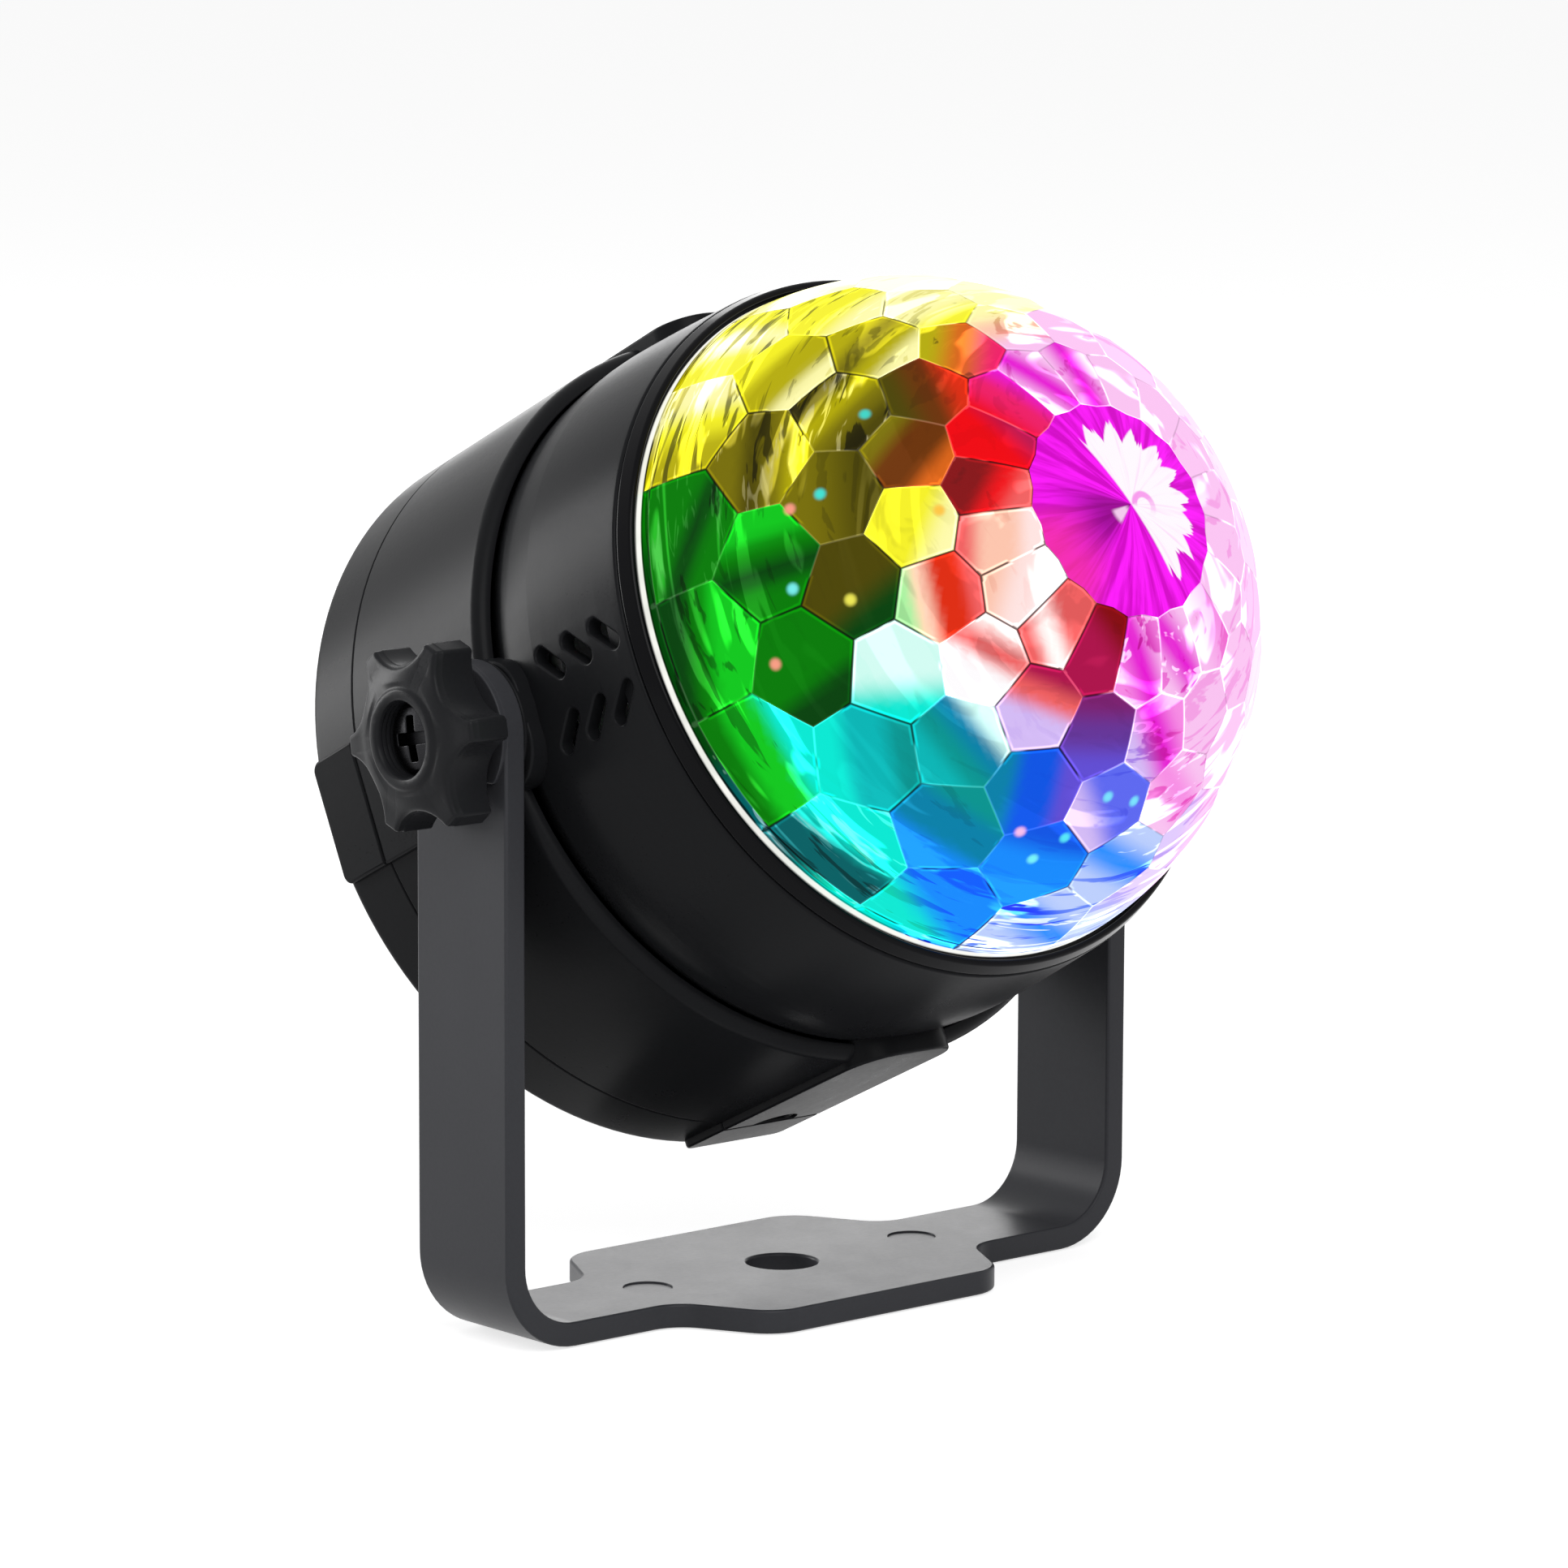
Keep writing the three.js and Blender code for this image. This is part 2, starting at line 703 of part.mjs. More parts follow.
// Dome and rotor.
/** The hollow inside the dome: flat facets in staggered rings, meeting in a star at the tip. */
function facetCore() {
  const reach = domeRadius - domeWall;
  const normals = [new THREE.Vector3(0, 0, -1)];
  for (const [tilt, odd] of facetRings) {
    for (let step = 0; step < facetsAround; step += 1) {
      const polar = THREE.MathUtils.degToRad(tilt);
      const turn = THREE.MathUtils.degToRad(facetPhase) + fullTurn * (step + odd / 2) / facetsAround;
      const flat = Math.sin(polar);
      normals.push(new THREE.Vector3(flat * Math.cos(turn), flat * Math.sin(turn), Math.cos(polar)));
    }
  }
  const hull = new ConvexHull().setFromPoints(normals);
  const corners = new Map();
  for (const face of hull.faces) {
    const corner = face.normal.clone().multiplyScalar(reach / face.constant);
    corners.set(corner.toArray().map((value) => Math.round(value / weld)).join(), corner);
  }
  const core = new ConvexGeometry([...corners.values()]);
  return solid(core.translate(0, 0, domeCentre));
}

function dome() {
  const start = Math.asin((flangeFront - domeCentre) / domeRadius);
  const profile = [
    [0, domeBase], [flangeRadius, domeBase], [flangeRadius, flangeFront],
    ...arc(0, domeCentre, domeRadius, start, quarterTurn, domeSteps).slice(0, -1), [0, domeApex],
  ];
  const holes = rotorScrewPlaces().map(([x, y]) => rod('z', rotorScrew.shank + threadGap,
    domeBase - cutMargin, domeBase + rotorScrewReach + seatGap, x, y, pinSegments));
  return cut(turned(profile, shellSegments), [facetCore(), ...holes]);
}

/** Where the rotor's small screws stand. */
function rotorScrewPlaces() {
  const corner = (domeRadius - domeWall) / Math.cos(halfTurn / facetsAround);
  return around(screwsPerPlate, (corner + flangeRadius) / 2, quarterTurn / 2);
}

function rotorPlate() {
  const disc = ring(0, flangeRadius - rotorInset, rotorRear, rotorFront, shellSegments);
  const hub = ring(0, hubRadius, rotorRear - hubLength, rotorRear + rotorThickness / 2, bossSegments);
  const holes = rotorScrewPlaces().map(([x, y]) => rod('z', rotorScrew.shank + threadGap,
    rotorRear - cutMargin, rotorFront + cutMargin, x, y, pinSegments));
  return cut(join([disc, hub]), [
    ring(0, shaftRadius + shaftGap, rotorRear - hubLength - cutMargin, rotorRear - hubFloor, bossSegments),
    ring(0, hubScrew.shank + threadGap, rotorRear - cutMargin, rotorFront + cutMargin, pinSegments),
    ...holes,
  ]);
}

function motorShaft() {
  const top = rotorRear - hubFloor - seatGap;
  const body = ring(0, shaftRadius, sinkFront - shaftInGearbox, top, bossSegments);
  return body.subtract(ring(0, hubScrew.shank + threadGap, top - hubScrewReach, top + cutMargin, pinSegments));
}

// Light engine.
function heatSink() {
  const plate = ring(noseRadius + boreGap, frontInner - slideGap, sinkRear, sinkFront, shellSegments);
  const fins = [];
  for (let step = 0; step < finCount; step += 1) {
    const shape = new THREE.BoxGeometry(finOuter - finInner, finThickness, finDepth + heatSinkThickness / 2);
    shape.translate((finOuter + finInner) / 2, 0, sinkRear + (heatSinkThickness / 2 - finDepth) / 2);
    fins.push(solid(shape.rotateZ(fullTurn * (step + 1 / 2) / finCount)));
  }
  const through = sinkPlaces().map(([x, y]) => rod('z', sinkScrew.shank + boreGap,
    sinkRear - cutMargin, sinkFront + cutMargin, x, y, pinSegments));
  const board = ledBoardPlaces().map(([x, y]) => rod('z', boardScrew.shank + threadGap,
    sinkFront - boardScrewReach, sinkFront + cutMargin, x, y, pinSegments));
  const ears = earPlaces().map(([x, y]) => rod('z', earScrew.shank + threadGap,
    sinkRear - cutMargin, sinkRear + earScrewReach, x, y, pinSegments));
  return cut(join([plate, ...fins]), [...through, ...board, ...ears]);
}

/** Where the LED board's screws stand. */
function ledBoardPlaces() {
  return around(screwsPerPlate, boardScrewCircle, -quarterTurn);
}

/** Where the three LEDs and their lenses stand. */
function ledPlaces() {
  return around(lightCount, ledCircle, quarterTurn);
}

/** Where the gearbox's two screws stand. */
function earPlaces() {
  return [[earScrewCircle, 0], [-earScrewCircle, 0]];
}

function ledBoard() {
  const disc = ring(noseRadius + boreGap, ledBoardRadius, ledBoardRear, ledBoardFront, discSegments);
  return cut(disc, ledBoardPlaces().map(([x, y]) => rod('z', boardScrew.shank + boreGap,
    ledBoardRear - cutMargin, ledBoardFront + cutMargin, x, y, pinSegments)));
}

function led([x, y]) {
  const half = ledSize / 2;
  const level = ledRear + ledBase;
  const base = block([x - half, y - half, ledRear], [x + half, y + half, level]);
  const profile = [[0, level - ledBase / 2], [ledBulge, level - ledBase / 2], [ledBulge, level]];
  for (let step = 1; step < ledSteps; step += 1) {
    const angle = quarterTurn * step / ledSteps;
    profile.push([ledBulge * Math.cos(angle), level + ledBulgeHeight * Math.sin(angle)]);
  }
  profile.push([0, level + ledBulgeHeight]);
  return base.add(turned(profile, pinSegments, x, y));
}

function lens([x, y]) {
  const shoulderLevel = lensFront - lensFlangeHeight;
  return turned([
    [0, lensRear + lensPocketDepth], [lensPocket, lensRear + lensPocketDepth], [lensPocket, lensRear],
    [lensFoot, lensRear], [lensTop, shoulderLevel], [lensFlange, shoulderLevel], [lensFlange, lensFront],
    [0, lensFront],
  ], bossSegments, x, y);
}

function lensHolder() {
  const plate = ring(hubRadius + holderHoleGap, holderRadius, holderRear, holderFront, discSegments);
  const legs = around(lightCount, holderLegCircle, -quarterTurn).map(([x, y]) => rod('z', holderLegRadius,
    ledBoardFront + seatGap, holderRear + holderThickness / 2, x, y, pinSegments));
  const holes = ledPlaces().map(([x, y]) => rod('z', lensTop + slideGap / 2, holderRear - cutMargin,
    holderFront + cutMargin, x, y, bossSegments));
  return cut(join([plate, ...legs]), holes);
}

// Motor.
function gearbox() {
  const front = sinkRear - seatGap;
  const body = ring(0, gearboxRadius, front - gearboxLength, front, bossSegments);
  const nose = ring(0, noseRadius, front - gearboxLength / 2, front + noseLength, bossSegments);
  const ears = block([-earReach, -earHalfWidth, front - earThickness], [earReach, earHalfWidth, front]);
  const holes = earPlaces().map(([x, y]) => rod('z', earScrew.shank + boreGap,
    front - gearboxLength, front + cutMargin, x, y, pinSegments));
  const bore = rod('z', shaftRadius + shaftGap, sinkFront - shaftInGearbox - seatGap,
    front + noseLength + cutMargin, 0, 0, bossSegments);
  return cut(join([body, nose, ears]), [bore, ...holes]);
}

function motorCan() {
  const front = sinkRear - seatGap - gearboxLength - seatGap;
  return ring(0, motorRadius, front - motorLength, front, bossSegments);
}

// Control electronics.
function controlBoard() {
  const disc = ring(0, controlRadius, controlRear, controlFront, discSegments);
  return cut(disc, boardPlaces().map(([x, y]) => rod('z', postScrew.shank + boreGap,
    controlRear - cutMargin, controlFront + cutMargin, x, y, pinSegments)));
}

/** A box-shaped component that stands on the control board. */
function boxPart([x, y], width, depth, height) {
  const low = controlFront + seatGap;
  return block([x - width / 2, y - depth / 2, low], [x + width / 2, y + depth / 2, low + height]);
}

/** A round component that stands on the control board. */
function roundPart([x, y], radius, height) {
  const low = controlFront + seatGap;
  return rod('z', radius, low, low + height, x, y, bossSegments);
}

/** The rubber bush in the cord's way in. */
function cordGrommet() {
  const outer = inletRadius - slideGap / 2;
  const inner = outer - grommetWall;
  const mouth = -padFace + grommetInset;
  const seat = -(rearInner - slideGap - capLip - grommetSeatGap);
  const points = [
    [inner, mouth], [outer, mouth], [outer, seat], [outer + grommetFlange, seat],
    [outer + grommetFlange, seat + grommetFlangeHeight], [inner, seat + grommetFlangeHeight], [inner, mouth],
  ].map(([radius, height]) => new THREE.Vector2(radius, height));
  return solid(new THREE.LatheGeometry(points, bossSegments).translate(0, 0, seam));
}

// Clamp knobs: built for the +X side about the X axis, mirrored for the other.
/** The star outline of a knob with hollow flanks between its lobes. */
function starOutline() {
  const half = Math.asin(knobTipWidth / 2 / knobTip);
  const beta = halfTurn / lobeCount - half;
  const far = (knobTip ** 2 - knobRoot ** 2) / (2 * (knobTip * Math.cos(beta) - knobRoot));
  const radius = far - knobRoot;
  const reach = Math.atan2(knobTip * Math.sin(beta), far - knobTip * Math.cos(beta));
  const points = [];
  for (let lobe = 0; lobe < lobeCount; lobe += 1) {
    const middle = fullTurn * (lobe + 1 / 2) / lobeCount;
    const [x, y] = [far * Math.cos(middle), far * Math.sin(middle)];
    points.push(...arc(x, y, radius, middle + halfTurn + reach, middle + halfTurn - reach, scallopSteps));
  }
  return points;
}

function knob(sign) {
  const star = prism(starOutline(), knobCrownHeight).translate(0, 0, lobeBack);
  const crown = turned([
    [0, lobeBack], [knobTip * 2, lobeBack], [knobTip, lobeFront],
    [knobShoulder, knobFront - knobShoulderDrop], [knobRing, knobFront], [0, knobFront],
  ], bossSegments);
  const hub = ring(0, knobHubRadius, knobBack, lobeBack + knobRimHeight / 2, bossSegments);
  const body = cut(join([solid(star).intersect(crown), hub]), [
    rod('z', recessRadius, recessFloor, knobFront + cutMargin, 0, 0, bossSegments),
    rod('z', clampRadius + threadGap, knobBack - cutMargin, knobFront, 0, 0, bossSegments),
  ]);
  return sideways(body, sign);
}

function clampScrew(sign) {
  const seat = recessFloor + seatGap;
  const top = seat + clampHeadHeight;
  const body = turned([
    [0, clampTip], [clampRadius, clampTip], [clampRadius, seat], [clampHeadRadius, seat],
    [clampHeadRadius, top - clampHeadHeight / 2], [clampHeadRadius - clampHeadRound, top - clampHeadDrop],
    [clampHeadRadius / 2, top], [0, top],
  ], bossSegments);
  const [long, short] = [crossLength / 2, crossWidth / 2];
  return sideways(cut(body, [
    block([-long, -short, top - crossDepth], [long, short, top + cutMargin]),
    block([-short, -long, top - crossDepth], [short, long, top + cutMargin]),
  ]), sign);
}

function clampWasher(sign) {
  return sideways(ring(clampRadius + boreGap, washerRadius, washerIn, washerOut, bossSegments), sign);
}

function clampNut(sign) {
  const [low, high] = span(sign, nutIn, nutOut);
  return hexRod(nutAcross / 2, low, high).subtract(
    rod('x', clampRadius + threadGap, low - cutMargin, high + cutMargin, headAxisDrop, 0, bossSegments));
}

/** Lays a body built along +Z onto the pivot line, pointing to one side. */
function sideways(body, sign) {
  return solid(geometryOf(body).rotateY(sign * quarterTurn).rotateX(lobePhase).translate(0, headAxisDrop, 0));
}

// The object.
add('bracket', bracket(), 'shell', standing);

add('rear_shell', rearShell(), 'shell', headPlace);
add('rear_cap', rearCap(), 'shell', headPlace);
add('front_shell', frontShell(), 'shell', headPlace);
add('front_ring', frontRing(), 'trim', headPlace);
add('cord_grommet', cordGrommet(), 'rubber', headPlace);
capScrewPlaces().forEach(([x, y], step) => {
  const seat = capRear + capScrew.height;
  const reach = seam + lipReach + capScrewReach - seat;
  add(`cap_screw_${step + 1}`, screw(capScrew, x, y, seat, -1, reach), 'steel', headPlace);
});

add('heat_sink', heatSink(), 'aluminium', headPlace);
sinkPlaces().forEach(([x, y], step) => {
  const reach = heatSinkThickness + sinkScrewReach - seatGap;
  add(`sink_screw_${step + 1}`, screw(sinkScrew, x, y, sinkFront + seatGap, 1, reach), 'steel', headPlace);
});
add('led_board', ledBoard(), 'board', headPlace);
ledBoardPlaces().forEach(([x, y], step) => {
  const reach = ledBoardThickness + boardScrewReach;
  const body = screw(boardScrew, x, y, ledBoardFront + seatGap, 1, reach);
  add(`board_screw_${step + 1}`, body, 'steel', headPlace);
});
['red', 'green', 'blue'].forEach((colour, step) => {
  add(`led_${colour}`, led(ledPlaces()[step]), colour, headPlace);
  add(`lens_${colour}`, lens(ledPlaces()[step]), 'clear', headPlace);
});
add('lens_holder', lensHolder(), 'black', headPlace);

add('gearbox', gearbox(), 'steel', headPlace);
add('motor', motorCan(), 'aluminium', headPlace);
earPlaces().forEach(([x, y], step) => {
  const seat = sinkRear - seatGap - earThickness - seatGap;
  const reach = earThickness + seatGap + earScrewReach;
  add(`motor_screw_${step + 1}`, screw(earScrew, x, y, seat, -1, reach), 'steel', headPlace);
});

add('control_board', controlBoard(), 'board', headPlace);
boardPlaces().forEach(([x, y], step) => {
  const reach = controlThickness + postScrewReach - seatGap * 2;
  add(`post_screw_${step + 1}`, screw(postScrew, x, y, controlFront + seatGap, 1, reach), 'steel', headPlace);
});
const places = around(partCount, partCircle, quarterTurn / 2);
add('control_chip', boxPart(places[0], chipSize, chipSize, chipHeight), 'black', headPlace);
add('capacitor', roundPart(places[1], capacitorRadius, capacitorHeight), 'blue', headPlace);
add('microphone', roundPart(places[2], microphoneRadius, microphoneHeight), 'aluminium', headPlace);
add('remote_receiver', boxPart(places[3], receiverWidth, receiverDepth, receiverHeight), 'black', headPlace);
add('motor_connector', boxPart(places[4], connectorWidth, connectorDepth, connectorHeight), 'clear', headPlace);

add('clamp_nut_left', clampNut(-1), 'steel', headPlace);
add('clamp_nut_right', clampNut(1), 'steel', headPlace);

add('dome', dome(), 'crystal', headPlace);
add('rotor_plate', rotorPlate(), 'clear', headPlace);
rotorScrewPlaces().forEach(([x, y], step) => {
  const reach = rotorThickness + seatGap + rotorScrewReach;
  add(`rotor_screw_${step + 1}`, screw(rotorScrew, x, y, rotorRear - seatGap, -1, reach), 'steel', headPlace);
});
add('motor_shaft', motorShaft(), 'steel', headPlace);
const hubReach = rotorThickness + hubFloor + hubScrewReach;
add('hub_screw', screw(hubScrew, 0, 0, rotorFront + seatGap, 1, hubReach), 'steel', headPlace);

for (const [side, sign] of [['left', -1], ['right', 1]]) {
  add(`knob_${side}`, knob(sign), 'shell', headPlace);
  add(`clamp_screw_${side}`, clampScrew(sign), 'steel', headPlace);
  add(`clamp_washer_${side}`, clampWasher(sign), 'steel', headPlace);
}

// The origin is under the middle of the object's outline, on the surface it stands on.
const outline = new THREE.Box3().setFromObject(group);
const shift = -(outline.min.y + outline.max.y) / 2;
for (const piece of group.children) piece.geometry.translate(0, shift, 0);

export default group;
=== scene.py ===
"""LED disco projector: its looks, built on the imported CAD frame.

Sizes in the classes are millimetres and angles are degrees. The pieces of the head are laid out in the
head's own frame: X along the pivots, Y up through the head and Z along its axis towards the dome's tip,
from the pivot line.
"""

import json
import logging
import math
from collections.abc import Callable, Iterator, Sequence
from dataclasses import dataclass, field
from enum import Enum
from typing import Any

import bmesh
import bpy
from mathutils import Matrix, Vector
from mathutils.geometry import tessellate_polygon


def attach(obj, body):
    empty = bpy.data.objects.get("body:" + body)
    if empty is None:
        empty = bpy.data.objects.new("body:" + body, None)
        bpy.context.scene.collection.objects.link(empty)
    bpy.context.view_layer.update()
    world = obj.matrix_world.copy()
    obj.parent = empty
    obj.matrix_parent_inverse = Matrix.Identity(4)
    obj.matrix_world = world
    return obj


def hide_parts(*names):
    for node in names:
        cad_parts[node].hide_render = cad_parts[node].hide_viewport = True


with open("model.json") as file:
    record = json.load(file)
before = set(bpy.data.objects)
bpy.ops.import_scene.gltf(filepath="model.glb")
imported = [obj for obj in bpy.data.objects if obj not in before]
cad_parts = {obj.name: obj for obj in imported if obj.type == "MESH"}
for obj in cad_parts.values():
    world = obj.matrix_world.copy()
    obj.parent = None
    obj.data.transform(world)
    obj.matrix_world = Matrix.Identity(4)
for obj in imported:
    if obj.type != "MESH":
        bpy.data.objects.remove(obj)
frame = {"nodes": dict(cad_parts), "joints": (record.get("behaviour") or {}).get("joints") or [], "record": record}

log = logging.getLogger("led_disco_projector")

# Units and directions.

MM = 0.001
QUARTER = math.pi / 2
ACROSS = (1.0, 0.0, 0.0)
ALONG = (0.0, 1.0, 0.0)
UPWARD = (0.0, 0.0, 1.0)

# Nearness in millimetres, and what all the pivots share.

SAME = 1e-5
WELD = 1e-4
PIVOT_DROP = 0.52
PIVOT_BORE = 2.7
PIVOT_STEPS = 24

# Shared colours.

BLACK = (0.0, 0.0, 0.0)
WHITE = (1.0, 1.0, 1.0)
UNLIT = (0.01, 0.01, 0.01)

# Short names for types.

Point = tuple[float, float]
Loop = list[Point]
Triple = tuple[float, float, float]
Form = bmesh.types.BMesh
Finish = bpy.types.Material


class Side(Enum):
    """The two ends of the pivot line."""

    LEFT = -1
    RIGHT = 1

    @property
    def label(self) -> str:
        """The word used in node names."""
        return self.name.lower()

    @property
    def turn(self) -> Matrix:
        """The quarter turn that points Z to this end."""
        return Matrix.Rotation(self.value * QUARTER, 4, "Y")


class Body(Enum):
    """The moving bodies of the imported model."""

    BRACKET = "bracket"
    HEAD = "head"
    DOME = "dome"
    KNOB_LEFT = "knob_left"
    KNOB_RIGHT = "knob_right"


# Outlines and forms.


def arc(x: float, y: float, radius: float, start: float, end: float, steps: int) -> Loop:
    """Lays points along an arc.

    Args:
        x, y: The arc's centre.
        radius: Its radius.
        start, end: Its first and last angle in degrees.
        steps: How many steps lie between them.

    Returns:
        The points, both ends included.
    """
    turns = [math.radians(start + (end - start) * i / steps) for i in range(steps + 1)]
    return [(x + radius * math.cos(a), y + radius * math.sin(a)) for a in turns]


def circle(radius: float, steps: int, x: float = 0.0, y: float = 0.0) -> Loop:
    """Lays points round a circle, anticlockwise.

    Args:
        radius: The circle's radius.
        steps: How many points it has.
        x, y: Its centre.

    Returns:
        The closed loop.
    """
    return arc(x, y, radius, 0, 360, steps)[:-1]


def rounded(corners: Sequence[Triple], steps: int = 5, closed: bool = True) -> Loop:
    """Rounds the corners of an outline.

    Args:
        corners: The sharp corners as (x, y, radius).
        steps: How many steps each round takes.
        closed: False keeps the two ends as they are.

    Returns:
        The outline's points.
    """
    points: Loop = []
    count = len(corners)
    for i, (x, y, radius) in enumerate(corners):
        if radius <= 0 or (not closed and i in (0, count - 1)):
            points.append((x, y))
            continue
        here = Vector((x, y))
        back = (Vector(corners[i - 1][:2]) - here).normalized()
        ahead = (Vector(corners[(i + 1) % count][:2]) - here).normalized()
        half = math.acos(max(-1.0, min(1.0, back.dot(ahead)))) / 2
        middle = here + (back + ahead).normalized() * (radius / math.sin(half))
        first = here + back * (radius / math.tan(half)) - middle
        last = here + ahead * (radius / math.tan(half)) - middle
        start = math.atan2(first.y, first.x)
        turn = math.atan2(last.y, last.x) - start
        turn = (turn + math.pi) % (2 * math.pi) - math.pi
        for k in range(steps + 1):
            a = start + turn * k / steps
            points.append((middle.x + radius * math.cos(a), middle.y + radius * math.sin(a)))
    return points


def inset(loop: Loop, distance: float) -> Loop:
    """Moves a closed loop to its left, into the material.

    Args:
        loop: The points, anticlockwise round material or clockwise round a hole.
        distance: How far it moves.

    Returns:
        The moved loop, point for point.
    """
    if abs(distance) < SAME:
        return list(loop)
    sharpest = 0.3
    moved: Loop = []
    for i, (x, y) in enumerate(loop):
        ax, ay = loop[i - 1]
        bx, by = loop[(i + 1) % len(loop)]
        before = Vector((x - ax, y - ay)).normalized()
        after = Vector((bx - x, by - y)).normalized()
        normal = Vector((-before.y - after.y, before.x + after.x))
        normal.normalize()
        stretch = distance / max(sharpest, normal.dot(Vector((-before.y, before.x))))
        moved.append((x + normal.x * stretch, y + normal.y * stretch))
    return moved


def slot(length: float, width: float, x: float, y: float, tilt: float, steps: int = 8) -> Loop:
    """Draws a round-ended slot.

    Args:
        length, width: Its size over all.
        x, y: Its middle.
        tilt: Its turn in degrees.
        steps: How many steps each end takes.

    Returns:
        The closed loop, anticlockwise.
    """
    reach, radius = (length - width) / 2, width / 2
    flat = arc(reach, 0, radius, -90, 90, steps) + arc(-reach, 0, radius, 90, 270, steps)
    c, s = math.cos(math.radians(tilt)), math.sin(math.radians(tilt))
    return [(x + u * c - v * s, y + u * s + v * c) for u, v in flat]


def strip(form: Form, first: Sequence[Any], second: Sequence[Any]) -> None:
    """Joins two closed rings of vertices with quads.

    Args:
        form: The mesh that holds them.
        first, second: The rings, point for point; a ring of one vertex is a tip.
    """
    count = max(len(first), len(second))
    for i in range(count):
        j = (i + 1) % count
        if len(first) == 1:
            form.faces.new((first[0], second[j], second[i]))
        elif len(second) == 1:
            form.faces.new((first[i], first[j], second[0]))
        else:
            form.faces.new((first[i], first[j], second[j], second[i]))


@dataclass
class Sheet:
    """A flat sheet with rounded rims, made with its upper face at height 0.

    The outline runs anticlockwise. Where it has no wall, it is only the edge of the upper face.
    """

    outline: Loop
    holes: list[Loop] = field(default_factory=list)
    depth: float = 1.0
    lip: float = 0.2
    lower: bool = True
    walled: bool = True
    dimples: list[tuple[Loop, float]] = field(default_factory=list)
    dimple_lip: float = 0.1
    steps: int = 3

    def build(self) -> Form:
        """Builds the faces, rims, walls and dimples.

        Returns:
            The mesh in millimetres.
        """
        form = bmesh.new()
        steps = self.levels(self.lip, self.depth, self.lower)
        outer = self.wall(form, self.outline, steps if self.walled else [(0.0, 0.0), (0.0, -self.depth)],
                          self.walled)
        holes = [self.wall(form, hole[::-1], steps, True) for hole in self.holes]
        wells = [self.wall(form, well[::-1], self.levels(self.dimple_lip, depth, False), True)
                 for well, depth in self.dimples]
        self.fill(form, [outer[0], *[rings[0] for rings in holes + wells]], False)
        if self.lower:
            self.fill(form, [outer[-1], *[rings[-1] for rings in holes]], True)
        for rings in wells:
            self.fill(form, [rings[-1]], False)
        return form

    def levels(self, lip: float, depth: float, lower: bool) -> Loop:
        """Lists a wall's steps as (distance into the material, height).

        Args:
            lip: The round at its edge.
            depth: How far down it goes.
            lower: True rounds its lower edge too.

        Returns:
            The steps from the upper face down.
        """
        turns = [math.radians(90 * k / self.steps) for k in range(self.steps + 1)]
        upper = [(lip * (1 - math.sin(a)), -lip * (1 - math.cos(a))) for a in turns]
        if lower:
            return upper + [(distance, -depth - height) for distance, height in reversed(upper)]
        return [*upper, (0.0, -depth)]

    @staticmethod
    def wall(form: Form, loop: Loop, levels: Loop, joined: bool) -> list[list[Any]]:
        """Builds the wall along one loop.

        Args:
            form: The mesh.
            loop: The loop, with the material on its left.
            levels: The wall's steps.
            joined: False leaves the faces between the steps out.

        Returns:
            The wall's rings of vertices, from the top.
        """
        rings = [[form.verts.new((x, y, height)) for x, y in inset(loop, distance)]
                 for distance, height in levels]
        if joined:
            for upper, under in zip(rings, rings[1:]):
                strip(form, under, upper)
        return rings

    @staticmethod
    def fill(form: Form, rings: list[list[Any]], downward: bool) -> None:
        """Fills a face between rings of vertices.

        Args:
            form: The mesh that holds them.
            rings: The outer ring, then the holes.
            downward: True turns the face down.
        """
        flat = [vertex for ring in rings for vertex in ring]
        for triangle in tessellate_polygon([[vertex.co for vertex in ring] for ring in rings]):
            corners = [flat[i] for i in triangle]
            spin = (corners[1].co - corners[0].co).cross(corners[2].co - corners[0].co).z
            if (spin < 0) != downward:
                corners.reverse()
            form.faces.new(corners)


def sliced(form: Form, places: Sequence[float], direction: Triple) -> None:
    """Cuts edges into a mesh, so that it can bend there.

    Args:
        form: The mesh.
        places: Where each cut lies along the direction.
        direction: The cuts' shared normal.
    """
    for place in places:
        parts = form.verts[:] + form.edges[:] + form.faces[:]
        middle = Vector(direction) * place
        bmesh.ops.bisect_plane(form, geom=parts, dist=SAME, plane_co=middle, plane_no=direction)


def shaped(form: Form, rule: Callable[[Vector], Vector]) -> Form:
    """Moves every vertex of a mesh by a rule.

    Args:
        form: The mesh.
        rule: Gives a vertex its new place.

    Returns:
        The same mesh.
    """
    for vertex in form.verts:
        vertex.co = rule(vertex.co.copy())
    return form


def lofted(loops: Sequence[Sequence[Triple]]) -> Form:
    """Joins closed loops in order; a loop of one point is a tip.

    Args:
        loops: Loops of points with the same count.

    Returns:
        The mesh in millimetres.
    """
    form = bmesh.new()
    rings = [[form.verts.new(point) for point in loop] for loop in loops]
    for first, second in zip(rings, rings[1:]):
        strip(form, first, second)
    return form


def turned(profile: Loop, segments: int, x: float = 0.0, y: float = 0.0) -> Form:
    """Turns a profile about Z.

    Args:
        profile: (radius, height) points; a closed profile repeats its first point.
        segments: How many steps the turn takes.
        x, y: Where the axis stands.

    Returns:
        The mesh in millimetres.
    """
    loops = []
    for radius, height in profile:
        if radius < SAME:
            loops.append([(x, y, height)])
        else:
            loops.append([(u, v, height) for u, v in circle(radius, segments, x, y)])
    form = lofted(loops)
    bmesh.ops.remove_doubles(form, verts=form.verts[:], dist=SAME)
    return form


